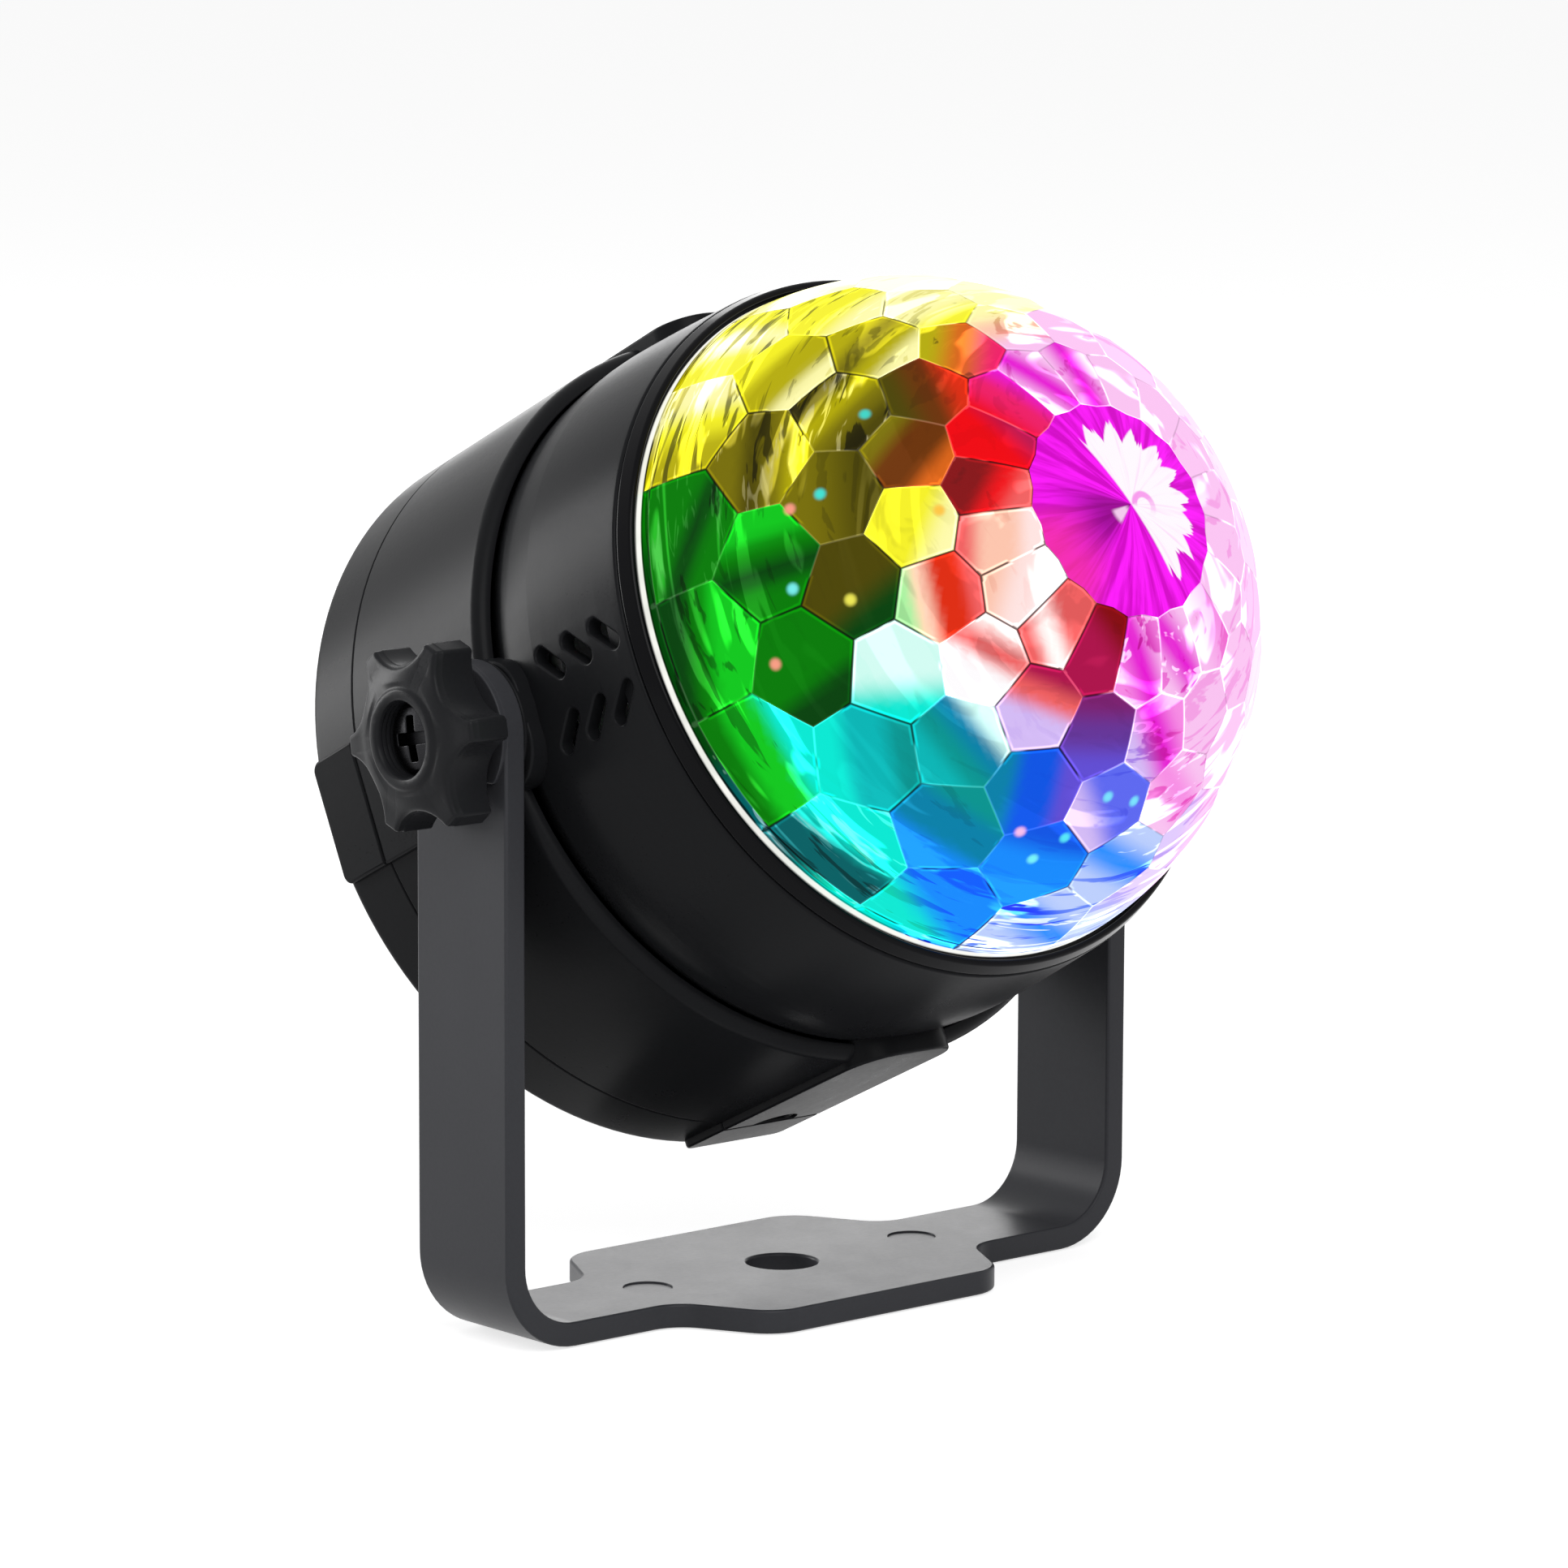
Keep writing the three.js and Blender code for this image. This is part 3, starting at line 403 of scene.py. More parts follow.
def revolved(corners: Sequence[Triple], steps: int, segments: int) -> Form:
    """Turns a closed section with rounded corners about Z.

    Args:
        corners: The section's corners as (radius, height, round).
        steps: How many steps each round takes.
        segments: How many steps the turn takes.

    Returns:
        The mesh in millimetres.
    """
    profile = rounded(corners, steps)
    return turned([*profile, profile[0]], segments)


def merged(*forms: Form) -> Form:
    """Puts several meshes into one.

    Args:
        forms: The meshes, which are freed except for the first.

    Returns:
        The first mesh, with the others in it.
    """
    whole = forms[0]
    for form in forms[1:]:
        spare = bpy.data.meshes.new("spare")
        form.to_mesh(spare)
        form.free()
        whole.from_mesh(spare)
        bpy.data.meshes.remove(spare)
    return whole


def shift(x: float, y: float, z: float) -> Matrix:
    """Makes a move by millimetres."""
    return Matrix.Translation((x * MM, y * MM, z * MM))


def placed(name: str, form: Form) -> bpy.types.Object:
    """Makes a mesh into an object of the scene.

    Args:
        name: The name of the object and of its mesh.
        form: The mesh, which is freed.

    Returns:
        The new object.
    """
    mesh = bpy.data.meshes.new(name)
    form.to_mesh(mesh)
    form.free()
    made = bpy.data.objects.new(name, mesh)
    bpy.context.scene.collection.objects.link(made)
    return made


@dataclass(frozen=True)
class Head:
    """The head's own frame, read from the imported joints."""

    place: Matrix

    @classmethod
    def from_joints(cls, joints: list[dict[str, Any]]) -> "Head":
        """Works the frame out from the tilt and the dome's spin.

        Args:
            joints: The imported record's joints.

        Returns:
            The head's frame.
        """
        spin = next(joint for joint in joints if joint["name"] == "dome_spin")
        along = Vector(spin["axis"]).normalized()
        across = Vector(ACROSS)
        up = along.cross(across).normalized()
        basis = Matrix((across, up, along)).transposed().to_4x4()
        return cls(Matrix.Translation(Vector(spin["pos_m"])) @ basis)

    def at(self, height: float) -> Matrix:
        """Moves the frame along the head's axis, in millimetres."""
        return self.place @ shift(0, 0, height)


# Shader sheets.


class Wire:
    """A value in a shader that takes part in sums."""

    def __init__(self, sheet: "Shader", socket: bpy.types.NodeSocket) -> None:
        """Keeps the sheet and the socket."""
        self.sheet = sheet
        self.socket = socket

    def maths(self, operation: str, *values: Any, clamp: bool = False) -> "Wire":
        """Adds one Math node.

        Args:
            operation: The node's operation.
            values: Its inputs, this wire among them.
            clamp: True keeps the result from 0 to 1.

        Returns:
            The result.
        """
        settings = {"operation": operation, "use_clamp": clamp}
        return self.sheet.node("ShaderNodeMath", settings, dict(enumerate(values)))

    def __add__(self, other: Any) -> "Wire":
        """Adds."""
        return self.maths("ADD", self, other)

    __radd__ = __add__

    def __sub__(self, other: Any) -> "Wire":
        """Takes away."""
        return self.maths("SUBTRACT", self, other)

    def __rsub__(self, other: Any) -> "Wire":
        """Is taken away."""
        return self.maths("SUBTRACT", other, self)

    def __mul__(self, other: Any) -> "Wire":
        """Multiplies."""
        return self.maths("MULTIPLY", self, other)

    __rmul__ = __mul__

    def __gt__(self, other: Any) -> "Wire":
        """Is 1 where it is the larger."""
        return self.maths("GREATER_THAN", self, other)

    def soft(self, low: float, high: float) -> "Wire":
        """Rises smoothly from 0 at low to 1 at high.

        Args:
            low, high: Where the rise starts and ends; high may be the lower one.

        Returns:
            The mask.
        """
        if low > high:
            return 1 - self.soft(high, low)
        settings = {"interpolation_type": "SMOOTHSTEP", "clamp": True}
        values = {"Value": self, "From Min": low, "From Max": high, "To Min": 0.0, "To Max": 1.0}
        return self.sheet.node("ShaderNodeMapRange", settings, values)


class Shader:
    """The node sheet of one material or world."""

    noise_roughness = 0.55

    def __init__(self, name: str, shelf: Any = bpy.data.materials) -> None:
        """Starts an empty sheet.

        Args:
            name: The name of the material or world.
            shelf: Where it is kept: Blender's materials or its worlds.
        """
        self.material = shelf.new(name)
        self.material.use_nodes = True
        self.tree = self.material.node_tree
        self.tree.nodes.clear()
        world = shelf == bpy.data.worlds
        self.output = self.tree.nodes.new("ShaderNodeOutputWorld" if world else "ShaderNodeOutputMaterial")

    def node(self, kind: str, settings: dict[str, Any], values: dict[Any, Any], give: Any = 0) -> Wire:
        """Adds one node.

        Args:
            kind: Its type.
            settings: Its settings, which are set first.
            values: Numbers, colours or wires for its sockets, by name or number.
            give: Which output is wanted.

        Returns:
            That output.
        """
        made = self.tree.nodes.new(kind)
        for key, value in settings.items():
            setattr(made, key, value)
        for key, value in values.items():
            socket = made.inputs[key]
            if isinstance(value, Wire):
                self.tree.links.new(value.socket, socket)
            elif isinstance(value, tuple) and socket.type == "RGBA":
                socket.default_value = (*value, 1.0)
            else:
                socket.default_value = value
        return Wire(self, made.outputs[give])

    def seen_directly(self) -> Wire:
        """Tells what the camera sees, straight on, in a mirror or through glass.

        Returns:
            1 for it and 0 for all else.
        """
        kinds = ("Camera", "Glossy", "Transmission")
        rays = [self.node("ShaderNodeLightPath", {}, {}, f"Is {kind} Ray") for kind in kinds]
        return rays[0].maths("ADD", rays[0] + rays[1], rays[2], clamp=True)

    def where(self) -> Wire:
        """The place on the piece, in metres."""
        return self.node("ShaderNodeTexCoord", {}, {}, "Object")

    def noise(self, place: Wire, scale: float, detail: float = 2.0, twist: float = 0.0) -> Wire:
        """A soft noise from 0 to 1.

        Args:
            place: Where it is read.
            scale: How many swells lie in a unit.
            detail: How fine it goes.
            twist: Its distortion.

        Returns:
            The value.
        """
        values = {"Vector": place, "Scale": scale, "Detail": detail, "Roughness": self.noise_roughness,
                  "Distortion": twist}
        return self.node("ShaderNodeTexNoise", {}, values, "Fac")

    def blend(self, share: Any, first: Any, second: Any, way: str = "MIX") -> Wire:
        """Mixes two colours.

        Args:
            share: How much of the second shows.
            first, second: The colours.
            way: The Mix node's blend type.

        Returns:
            The mixed colour.
        """
        settings = {"data_type": "RGBA", "blend_type": way, "clamp_factor": True}
        return self.node("ShaderNodeMix", settings, {0: share, 6: first, 7: second}, 2)

    def vector(self, operation: str, *values: Any, give: Any = 0, scale: Any = None) -> Wire:
        """Adds one Vector Math node.

        Args:
            operation: Its operation.
            values: Its vectors.
            give: Which output is wanted.
            scale: The number for a scaling.

        Returns:
            That output.
        """
        sockets = dict(enumerate(values))
        if scale is not None:
            sockets["Scale"] = scale
        return self.node("ShaderNodeVectorMath", {"operation": operation}, sockets, give)

    def scaled(self, tone: Any, share: float) -> Wire:
        """Multiplies a colour by a number."""
        return self.blend(1.0, tone, (share, share, share), "MULTIPLY")

    def along(self, spot: Wire, polar: float, azimuth: float) -> Wire:
        """Measures how far a place lies in a direction.

        Args:
            spot: The place.
            polar, azimuth: The direction's angles on the dome.

        Returns:
            The cosine.
        """
        return self.vector("DOT_PRODUCT", spot, tuple(aim(polar, azimuth)), give="Value")

    def stored(self, name: str, give: str) -> Wire:
        """Reads a layer of the mesh."""
        return self.node("ShaderNodeAttribute", {"attribute_name": name}, {}, give)

    def bump(self, height: Wire, strength: float, distance: float) -> Wire:
        """Turns a height into a normal.

        Args:
            height: The height.
            strength: How much of it shows.
            distance: What a height of 1 stands for, in metres.

        Returns:
            The normal.
        """
        values = {"Height": height, "Strength": strength, "Distance": distance}
        return self.node("ShaderNodeBump", {}, values)

    def finish(self, sockets: dict[str, Any]) -> Finish:
        """Ends the sheet in one Principled shader.

        Args:
            sockets: Its sockets' numbers, colours and wires.

        Returns:
            The material.
        """
        shader = self.node("ShaderNodeBsdfPrincipled", {}, sockets)
        self.tree.links.new(shader.socket, self.output.inputs["Surface"])
        return self.material


# Finishes.


@dataclass(frozen=True)
class MouldedPlastic:
    """Satin plastic with a fine spark-eroded grain."""

    name: str
    colour: Triple
    roughness: float
    grain: float = 1900.0
    grain_height: float = 0.000012
    drift: float = 0.18
    specular: float = 0.5
    coat: float = 0.0
    coat_roughness: float = 0.12
    cloud: float = 32.0
    flow: float = 160.0
    flow_stretch: Triple = (1.0, 1.0, 0.25)
    cloud_share: float = 0.6
    relief: float = 0.6

    def material(self) -> Finish:
        """Builds the material.

        Returns:
            The new material.
        """
        sheet = Shader(self.name)
        place = sheet.where()
        grain = sheet.noise(place, self.grain, 3.0)
        cloud = sheet.noise(place, self.cloud, 4.0)
        flow = sheet.noise(sheet.vector("MULTIPLY", place, self.flow_stretch), self.flow, 2.0, 0.6)
        darker = tuple(c * (1 - self.drift) for c in self.colour)
        lighter = tuple(min(1.0, c * (1 + self.drift)) for c in self.colour)
        tone = sheet.blend(cloud * self.cloud_share + grain * (1 - self.cloud_share), darker, lighter)
        rough = self.roughness + (cloud - 0.5) * 0.10 + (flow - 0.5) * 0.06 + (grain - 0.5) * 0.08
        return sheet.finish({
            "Base Color": tone,
            "Roughness": rough,
            "Specular IOR Level": self.specular,
            "Coat Weight": self.coat,
            "Coat Roughness": self.coat_roughness,
            "Normal": sheet.bump(grain, self.relief, self.grain_height),
        })


@dataclass(frozen=True)
class Rubber:
    """Soft dull rubber with a dusty bloom."""

    name: str
    colour: Triple
    grain: float = 420.0
    grain_height: float = 0.00004
    roughness: float = 0.72
    dust: float = 2.2
    dust_lift: float = 0.01

    def material(self) -> Finish:
        """Builds the material.

        Returns:
            The new material.
        """
        sheet = Shader(self.name)
        place = sheet.where()
        bloom = sheet.noise(place, self.grain, 4.0, 0.4)
        dusty = tuple(c * self.dust + self.dust_lift for c in self.colour)
        tone = sheet.blend(bloom.soft(0.45, 0.75) * 0.5, self.colour, dusty)
        return sheet.finish({
            "Base Color": tone,
            "Roughness": self.roughness + bloom * 0.2,
            "Normal": sheet.bump(bloom, 0.4, self.grain_height),
        })


@dataclass(frozen=True)
class Metal:
    """Metal with fine tool marks and a little tarnish."""

    name: str
    colour: Triple
    roughness: float
    tarnish: Triple
    marks: float = 900.0
    marks_stretch: Triple = (1.0, 6.0, 1.0)
    marks_height: float = 0.00001
    stains: float = 140.0

    def material(self) -> Finish:
        """Builds the material.

        Returns:
            The new material.
        """
        sheet = Shader(self.name)
        place = sheet.where()
        lines = sheet.noise(sheet.vector("MULTIPLY", place, self.marks_stretch), self.marks, 3.0)
        stain = sheet.noise(place, self.stains, 4.0, 0.5)
        tone = sheet.blend(stain.soft(0.4, 0.8) * 0.55, self.colour, self.tarnish)
        return sheet.finish({
            "Base Color": tone,
            "Metallic": 1.0,
            "Roughness": self.roughness + (lines - 0.5) * 0.16 + stain * 0.08,
            "Normal": sheet.bump(lines, 0.35, self.marks_height),
        })


@dataclass(frozen=True)
class BoardLaminate:
    """A printed board: lacquer over tracks and pads."""

    name: str
    lacquer: Triple
    track: Triple
    tracks: float = 520.0
    track_gap: float = 0.12
    track_height: float = 0.00003
    weave: float = 2400.0

    def material(self) -> Finish:
        """Builds the material.

        Returns:
            The new material.
        """
        sheet = Shader(self.name)
        place = sheet.where()
        values = {"Vector": place, "Scale": self.tracks, "Mortar Size": self.track_gap, "Color1": WHITE,
                  "Color2": BLACK, "Mortar": (0.5, 0.5, 0.5)}
        tracks = sheet.node("ShaderNodeTexBrick", {"offset": 0.35}, values, "Fac")
        weave = sheet.noise(place, self.weave, 2.0)
        tone = sheet.blend(tracks * 0.7, self.lacquer, self.track)
        return sheet.finish({
            "Base Color": tone,
            "Roughness": 0.35 + weave * 0.15,
            "Normal": sheet.bump(tracks + weave * 0.2, 0.4, self.track_height),
        })


@dataclass(frozen=True)
class ClearPlastic:
    """Clear moulded plastic for the lenses and the rotor plate."""

    name: str
    colour: Triple
    roughness: float = 0.06
    refraction: float = 1.49
    clearness: float = 0.85
    swirls: float = 260.0
    swirl_height: float = 0.00004
    dimming: float = 0.86

    def material(self) -> Finish:
        """Builds the material.

        Returns:
            The new material.
        """
        sheet = Shader(self.name)
        place = sheet.where()
        swirl = sheet.noise(place, self.swirls, 3.0, 0.8)
        return sheet.finish({
            "Base Color": sheet.blend(swirl * 0.4, self.colour, tuple(c * self.dimming for c in self.colour)),
            "Roughness": self.roughness + swirl * 0.05,
            "IOR": self.refraction,
            "Transmission Weight": self.clearness,
            "Normal": sheet.bump(swirl, 0.15, self.swirl_height),
        })


@dataclass(frozen=True)
class LightChip:
    """A lit chip under its silicone drop."""

    name: str
    glow: Triple
    specks: float = 1500.0
    speck_height: float = 0.00002
    paler: float = 0.35

    def material(self) -> Finish:
        """Builds the material.

        Returns:
            The new material.
        """
        sheet = Shader(self.name)
        place = sheet.where()
        speck = sheet.noise(place, self.specks, 2.0)
        tone = sheet.blend(speck * 0.5, self.glow, tuple(min(1.0, c + self.paler) for c in self.glow))
        return sheet.finish({
            "Base Color": tone,
            "Roughness": 0.18 + speck * 0.1,
            "Emission Color": tone,
            "Emission Strength": 1.0,
            "Normal": sheet.bump(speck, 0.2, self.speck_height),
        })


def aim(polar: float, azimuth: float) -> Vector:
    """Turns two angles on the dome into a direction.

    Args:
        polar: Degrees from the dome's tip.
        azimuth: Degrees about the head's axis, from +X towards the top.

    Returns:
        The unit direction in the head's frame.
    """
    p, a = math.radians(polar), math.radians(azimuth)
    return Vector((math.sin(p) * math.cos(a), math.sin(p) * math.sin(a), math.cos(p)))


class Tint(Enum):
    """The colours of the light in the facets."""

    LEMON = (0.92, 0.88, 0.015)
    CREAM = (1.0, 0.96, 0.42)
    MUSTARD = (0.47, 0.42, 0.0)
    OLIVE = (0.19, 0.16, 0.001)
    DARK_OLIVE = (0.075, 0.062, 0.0)
    BROWN = (0.15, 0.034, 0.001)
    ORANGE = (0.70, 0.13, 0.008)
    EMBER = (0.74, 0.025, 0.004)
    RED = (0.88, 0.0, 0.004)
    DARK_RED = (0.24, 0.001, 0.003)
    ROSE = (0.86, 0.012, 0.14)
    CORAL = (0.88, 0.12, 0.12)
    CRIMSON = (0.42, 0.004, 0.07)
    MAGENTA = (0.80, 0.006, 0.66)
    PLUM = (0.20, 0.012, 0.16)
    PINK = (0.93, 0.26, 0.78)
    PALE_PINK = (0.95, 0.54, 0.88)
    PEACH = (0.98, 0.56, 0.42)
    BLUSH = (1.0, 0.78, 0.76)
    WHITE = (1.0, 0.98, 1.0)
    ICE = (0.66, 0.98, 0.90)
    MINT = (0.34, 0.74, 0.30)
    GREEN = (0.0, 0.20, 0.0)
    BRIGHT_GREEN = (0.004, 0.58, 0.012)
    DEEP_GREEN = (0.0, 0.055, 0.002)
    TEAL = (0.0, 0.30, 0.28)
    AQUA = (0.0, 0.47, 0.47)
    LAGOON = (0.0, 0.22, 0.40)
    DARK_TEAL = (0.0, 0.12, 0.13)
    CYAN = (0.0, 0.82, 0.66)
    SKY = (0.005, 0.26, 1.0)
    BLUE = (0.002, 0.09, 0.78)
    VIOLET = (0.12, 0.075, 0.66)
    PERIWINKLE = (0.11, 0.14, 0.88)
    PURPLE = (0.13, 0.035, 0.32)
    LILAC = (0.66, 0.50, 0.92)
    PALE_BLUE = (0.50, 0.62, 0.98)


@dataclass(frozen=True)
class LitFacet:
    """The light in one facet: bands of colour along a heading, and how much it plays.

    The heading turns from the dome's way round (0) towards its tip (90 degrees).
    """

    ring: int
    step: int
    heading: float
    play: float
    bands: tuple[Tint, ...]

    def shade(self, plan: "FacetPlan", spot: Vector) -> tuple[float, float, float, float]:
        """Gives the colour at one place.

        Args:
            plan: How the facets lie.
            spot: The place's direction.

        Returns:
            Red, green, blue and the play of streaks.
        """
        middle = plan.direction(self.ring, self.step)
        across = Vector(UPWARD).cross(middle).normalized()
        turn = math.radians(self.heading)
        run = across * math.cos(turn) + middle.cross(across) * math.sin(turn)
        share = min(1.0, max(0.0, 0.5 + spot.dot(run) / plan.facet_width)) * (len(self.bands) - 1)
        first = min(int(share), len(self.bands) - 2) if len(self.bands) > 1 else 0
        second = min(first + 1, len(self.bands) - 1)
        part = share - first
        part = part * part * (3 - 2 * part)
        mixed = [a + (b - a) * part for a, b in zip(self.bands[first].value, self.bands[second].value)]
        return (*mixed, self.play)


@dataclass(frozen=True)
class Sparkle:
    """A small bright point of light inside the dome."""

    polar: float
    azimuth: float
    colour: Triple
    size: float = 1.45


@dataclass(frozen=True)
class FacetPlan:
    """How the dome's facets lie: rings of tilted planes in staggered steps, meeting in a star at the tip."""

    tilts: tuple[float, ...] = (10.5, 25.0, 37.0, 48.5, 60.5, 74.5, 90.0)
    odd: tuple[int, ...] = (0, 1, 0, 1, 0, 1, 1)
    around: int = 18
    phase: float = 173.5
    facet_width: float = 0.19
    nearest: float = 0.01
    furthest: float = 0.9

    def direction(self, ring: int, step: float) -> Vector:
        """Gives a facet's direction.

        Args:
            ring: The ring, from the tip.
            step: The facet's number in the ring.

        Returns:
            The unit direction.
        """
        return aim(self.tilts[ring], self.phase + 360 * (step + self.odd[ring] / 2) / self.around)

    def middles(self) -> list[Vector]:
        """Lists every facet's direction, ring by ring from the tip."""
        return [self.direction(ring, step) for ring in range(len(self.tilts)) for step in range(self.around)]

    def walls(self, middle: Vector) -> list[Vector]:
        """Lists what points from each neighbouring facet to this one.

        Args:
            middle: This facet's direction.

        Returns:
            The differences of the directions.
        """
        away = [middle - other for other in self.middles()]
        return [gap for gap in away if self.nearest < gap.length < self.furthest]

    def cells(self) -> list[tuple[Vector, list[Vector]]]:
        """Works out each facet's corners on a sphere of radius 1.

        Returns:
            Each facet's direction and its corners, anticlockwise seen from outside.
        """
        found = []
        for middle in self.middles():
            side = middle.orthogonal().normalized()
            other = middle.cross(side)
            shape = [(-1.0, -1.0), (1.0, -1.0), (1.0, 1.0), (-1.0, 1.0)]
            for cutter in [*self.walls(middle), Vector(UPWARD)]:
                shape = self.clipped(shape, cutter.dot(middle), cutter.dot(side), cutter.dot(other))
            corners = [(middle + side * u + other * v).normalized() for u, v in shape]
            found.append((middle, corners))
        return found

    @staticmethod
    def clipped(shape: Loop, level: float, first: float, second: float) -> Loop:
        """Keeps the part of a flat shape where level + first * u + second * v is at least 0.

        Args:
            shape: The corners as (u, v).
            level, first, second: The cutting line.

        Returns:
            The corners that are left.
        """
        kept: Loop = []
        for i, here in enumerate(shape):
            back = shape[i - 1]
            now = level + first * here[0] + second * here[1]
            before = level + first * back[0] + second * back[1]
            if (now >= 0) != (before >= 0):
                t = before / (before - now)
                kept.append((back[0] + (here[0] - back[0]) * t, back[1] + (here[1] - back[1]) * t))
            if now >= 0:
                kept.append(here)
        tidy: Loop = []
        for point in kept:
            if not tidy or math.dist(point, tidy[-1]) > SAME:
                tidy.append(point)
        if len(tidy) > 1 and math.dist(tidy[0], tidy[-1]) < SAME:
            tidy.pop()
        return tidy


@dataclass(frozen=True)
class LitCrystal:
    """The faceted dome, lit from inside in many colours; that light is painted as a glow of emitted colour."""

    name: str
    sparkles: tuple[Sparkle, ...]
    cap: float = 17.75
    cap_tilt: float = 15.0
    # Colours of painted light: the star's glow, its painted shadow and glints, and the dome's painted glints, edge
    # highlights and foot glow.
    star_dark: Triple = (0.66, 0.0, 0.58)
    star_bright: Triple = (1.0, 0.01, 0.98)
    star_shadow: Triple = (0.20, 0.0, 0.17)
    star_rose: Triple = (0.90, 0.03, 0.30)
    star_pearl: Triple = (1.0, 0.95, 1.0)
    star_pink: Triple = (1.0, 0.60, 0.96)
    star_curl: Triple = (0.92, 0.10, 0.80)
    star_shard: Triple = (1.0, 0.70, 0.95)
    glint: Triple = (1.0, 1.0, 0.98)
    edge_light: Triple = (1.0, 1.0, 0.96)
    foot_light: Triple = (1.0, 1.0, 0.94)
    body: Triple = (0.004, 0.004, 0.004)
    roughness: float = 0.06
    specular: float = 0.02
    light: float = 0.97

    def material(self) -> Finish:
        """Builds the material.

        Returns:
            The new material.
        """
        sheet = Shader(self.name)
        spot = sheet.vector("NORMALIZE", sheet.where())
        facet = sheet.stored("facet", "Vector")
        rim = sheet.stored("rim", "Fac")
        tone = sheet.stored("facet_glow", "Color")
        play = sheet.stored("facet_glow", "Alpha")
        chance = sheet.node("ShaderNodeTexWhiteNoise", {"noise_dimensions": "3D"}, {"Vector": facet}, "Color")
        x, y, height = (sheet.node("ShaderNodeSeparateXYZ", {}, {0: spot}, axis) for axis in "XYZ")
        side = sheet.node("ShaderNodeCombineXYZ", {}, {0: x, 1: y})
        level = sheet.node("ShaderNodeSeparateXYZ", {}, {0: facet}, "Z")
        cap = level > math.cos(math.radians(self.cap_tilt))
        tone = self.streaks(sheet, tone, play, side, height, chance)
        tone = self.edges(sheet, tone, rim, spot, height)
        tone = sheet.blend(cap, tone, self.star(sheet, spot, x, y, side))
        tone = self.foot(sheet, tone, spot, height)
        tone = self.points(sheet, tone, spot)
        behind = sheet.node("ShaderNodeNewGeometry", {}, {}, "Backfacing")
        settings = {"vector_type": "NORMAL", "convert_from": "OBJECT", "convert_to": "WORLD"}
        normal = sheet.node("ShaderNodeVectorTransform", settings, {0: facet})
        return sheet.finish({
            "Base Color": sheet.blend(0.97, tone, self.body),
            "Roughness": self.roughness + play * 0.06,
            "Specular IOR Level": self.specular,
            # Painted light: the dome's colours glow as emission, and its back faces are painted unlit.
            "Emission Color": sheet.blend(behind, tone, UNLIT),
            "Emission Strength": self.light,
            "Normal": normal,
        })

    def streaks(self, sheet: Shader, tone: Wire, play: Wire, side: Wire, height: Wire, chance: Wire) -> Wire:
        """Paints the bright glints and dark shade of refracted light, in streaks that run round the dome through
        the facets.

        Args:
            sheet: The node sheet.
            tone: The colour so far.
            play: How much of them shows.
            side: The point's direction across the axis.
            height: Its direction along the axis.
            chance: A random colour for each facet.

        Returns:
            The colour.
        """
        around = sheet.vector("SCALE", sheet.vector("NORMALIZE", side), scale=1.5)
        lift = sheet.node("ShaderNodeCombineXYZ", {}, {2: height * 11.0})
        pull = sheet.vector("MULTIPLY", chance, (5.0, 5.0, 9.0))
        place = sheet.vector("ADD", sheet.vector("ADD", around, lift), pull)
        veil = sheet.noise(place, 0.9, 2.0, 1.1)
        fold = sheet.noise(sheet.vector("ADD", place, (7.0, 3.0, 1.0)), 1.1, 3.0, 2.2)
        fine = sheet.noise(sheet.vector("SCALE", place, scale=2.6), 1.0, 2.0, 1.5)
        lively = play.soft(0.55, 1.0)
        # Painted light: bright glints and dark shade streaks inside the glowing facets.
        bright = veil.soft(0.545, 0.60) * play + fine.soft(0.61, 0.65) * lively * 0.8
        dark = fold.soft(0.43, 0.385) * play
        cool = sheet.node("ShaderNodeSeparateColor", {}, {0: tone}, "Blue")
        pure = sheet.scaled(tone, 3.2)
        white = fine.soft(0.50, 0.62) * lively * (0.20 + cool.soft(0.01, 0.25) * 0.60)
        glint = sheet.blend(0.03 + white, pure, self.glint)
        rich = sheet.blend(1.0, tone, sheet.blend(1.0, tone, tone, "MULTIPLY"), "MULTIPLY")
        deep = sheet.blend(cool.soft(0.25, 0.55), sheet.scaled(tone, 0.08), rich)
        return sheet.blend(dark, sheet.blend(bright, tone, glint), deep)

    def star(self, sheet: Shader, spot: Wire, x: Wire, y: Wire, side: Wire) -> Wire:
        """Paints the star of light at the dome's tip, with a painted shadow and rose patch towards one side and
        pale glints.

        Args:
            sheet: The node sheet.
            spot: The point's direction.
            x, y: Its parts across the axis.
            side: The same as a vector.

        Returns:
            The colour.
        """
        polar = sheet.vector("LENGTH", side, give="Value") * (180 / math.pi)
        turn = y.maths("ARCTAN2", y, x)
        share = polar * (1 / self.cap)
        spread = sheet.node("ShaderNodeCombineXYZ", {}, {0: turn * 4.5, 1: polar * 0.03})
        rays = sheet.noise(spread, 2.0, 3.0, 0.3)
        flat = sheet.vector("NORMALIZE", side)
        magenta = sheet.blend(rays.soft(0.38, 0.60), self.star_dark, self.star_bright)
        shadow = sheet.along(flat, 90, 190).soft(0.72, 0.97)
        magenta = sheet.blend(shadow * share.soft(1.0, 0.25) * 0.8, magenta, self.star_shadow)
        rose = sheet.along(flat, 90, 205).soft(0.80, 0.99)
        magenta = sheet.blend(rose * share.soft(0.35, 0.95) * 0.75, magenta, self.star_rose)
        saw = turn.maths("PINGPONG", turn * (9 / math.pi) + rays * 0.8, 0.5)
        edge = 0.64 + saw * 0.36 + (rays - 0.5) * 0.35
        half = sheet.along(spot, 90, 24).soft(-0.002, 0.006)
        white = (edge - share).soft(-0.01, 0.03) * half
        pale = sheet.blend(rays.soft(0.5, 0.7) * 0.5, self.star_pearl, self.star_pink)
        loop = sheet.vector("DISTANCE", spot, tuple(aim(2.8, 350)), give="Value")
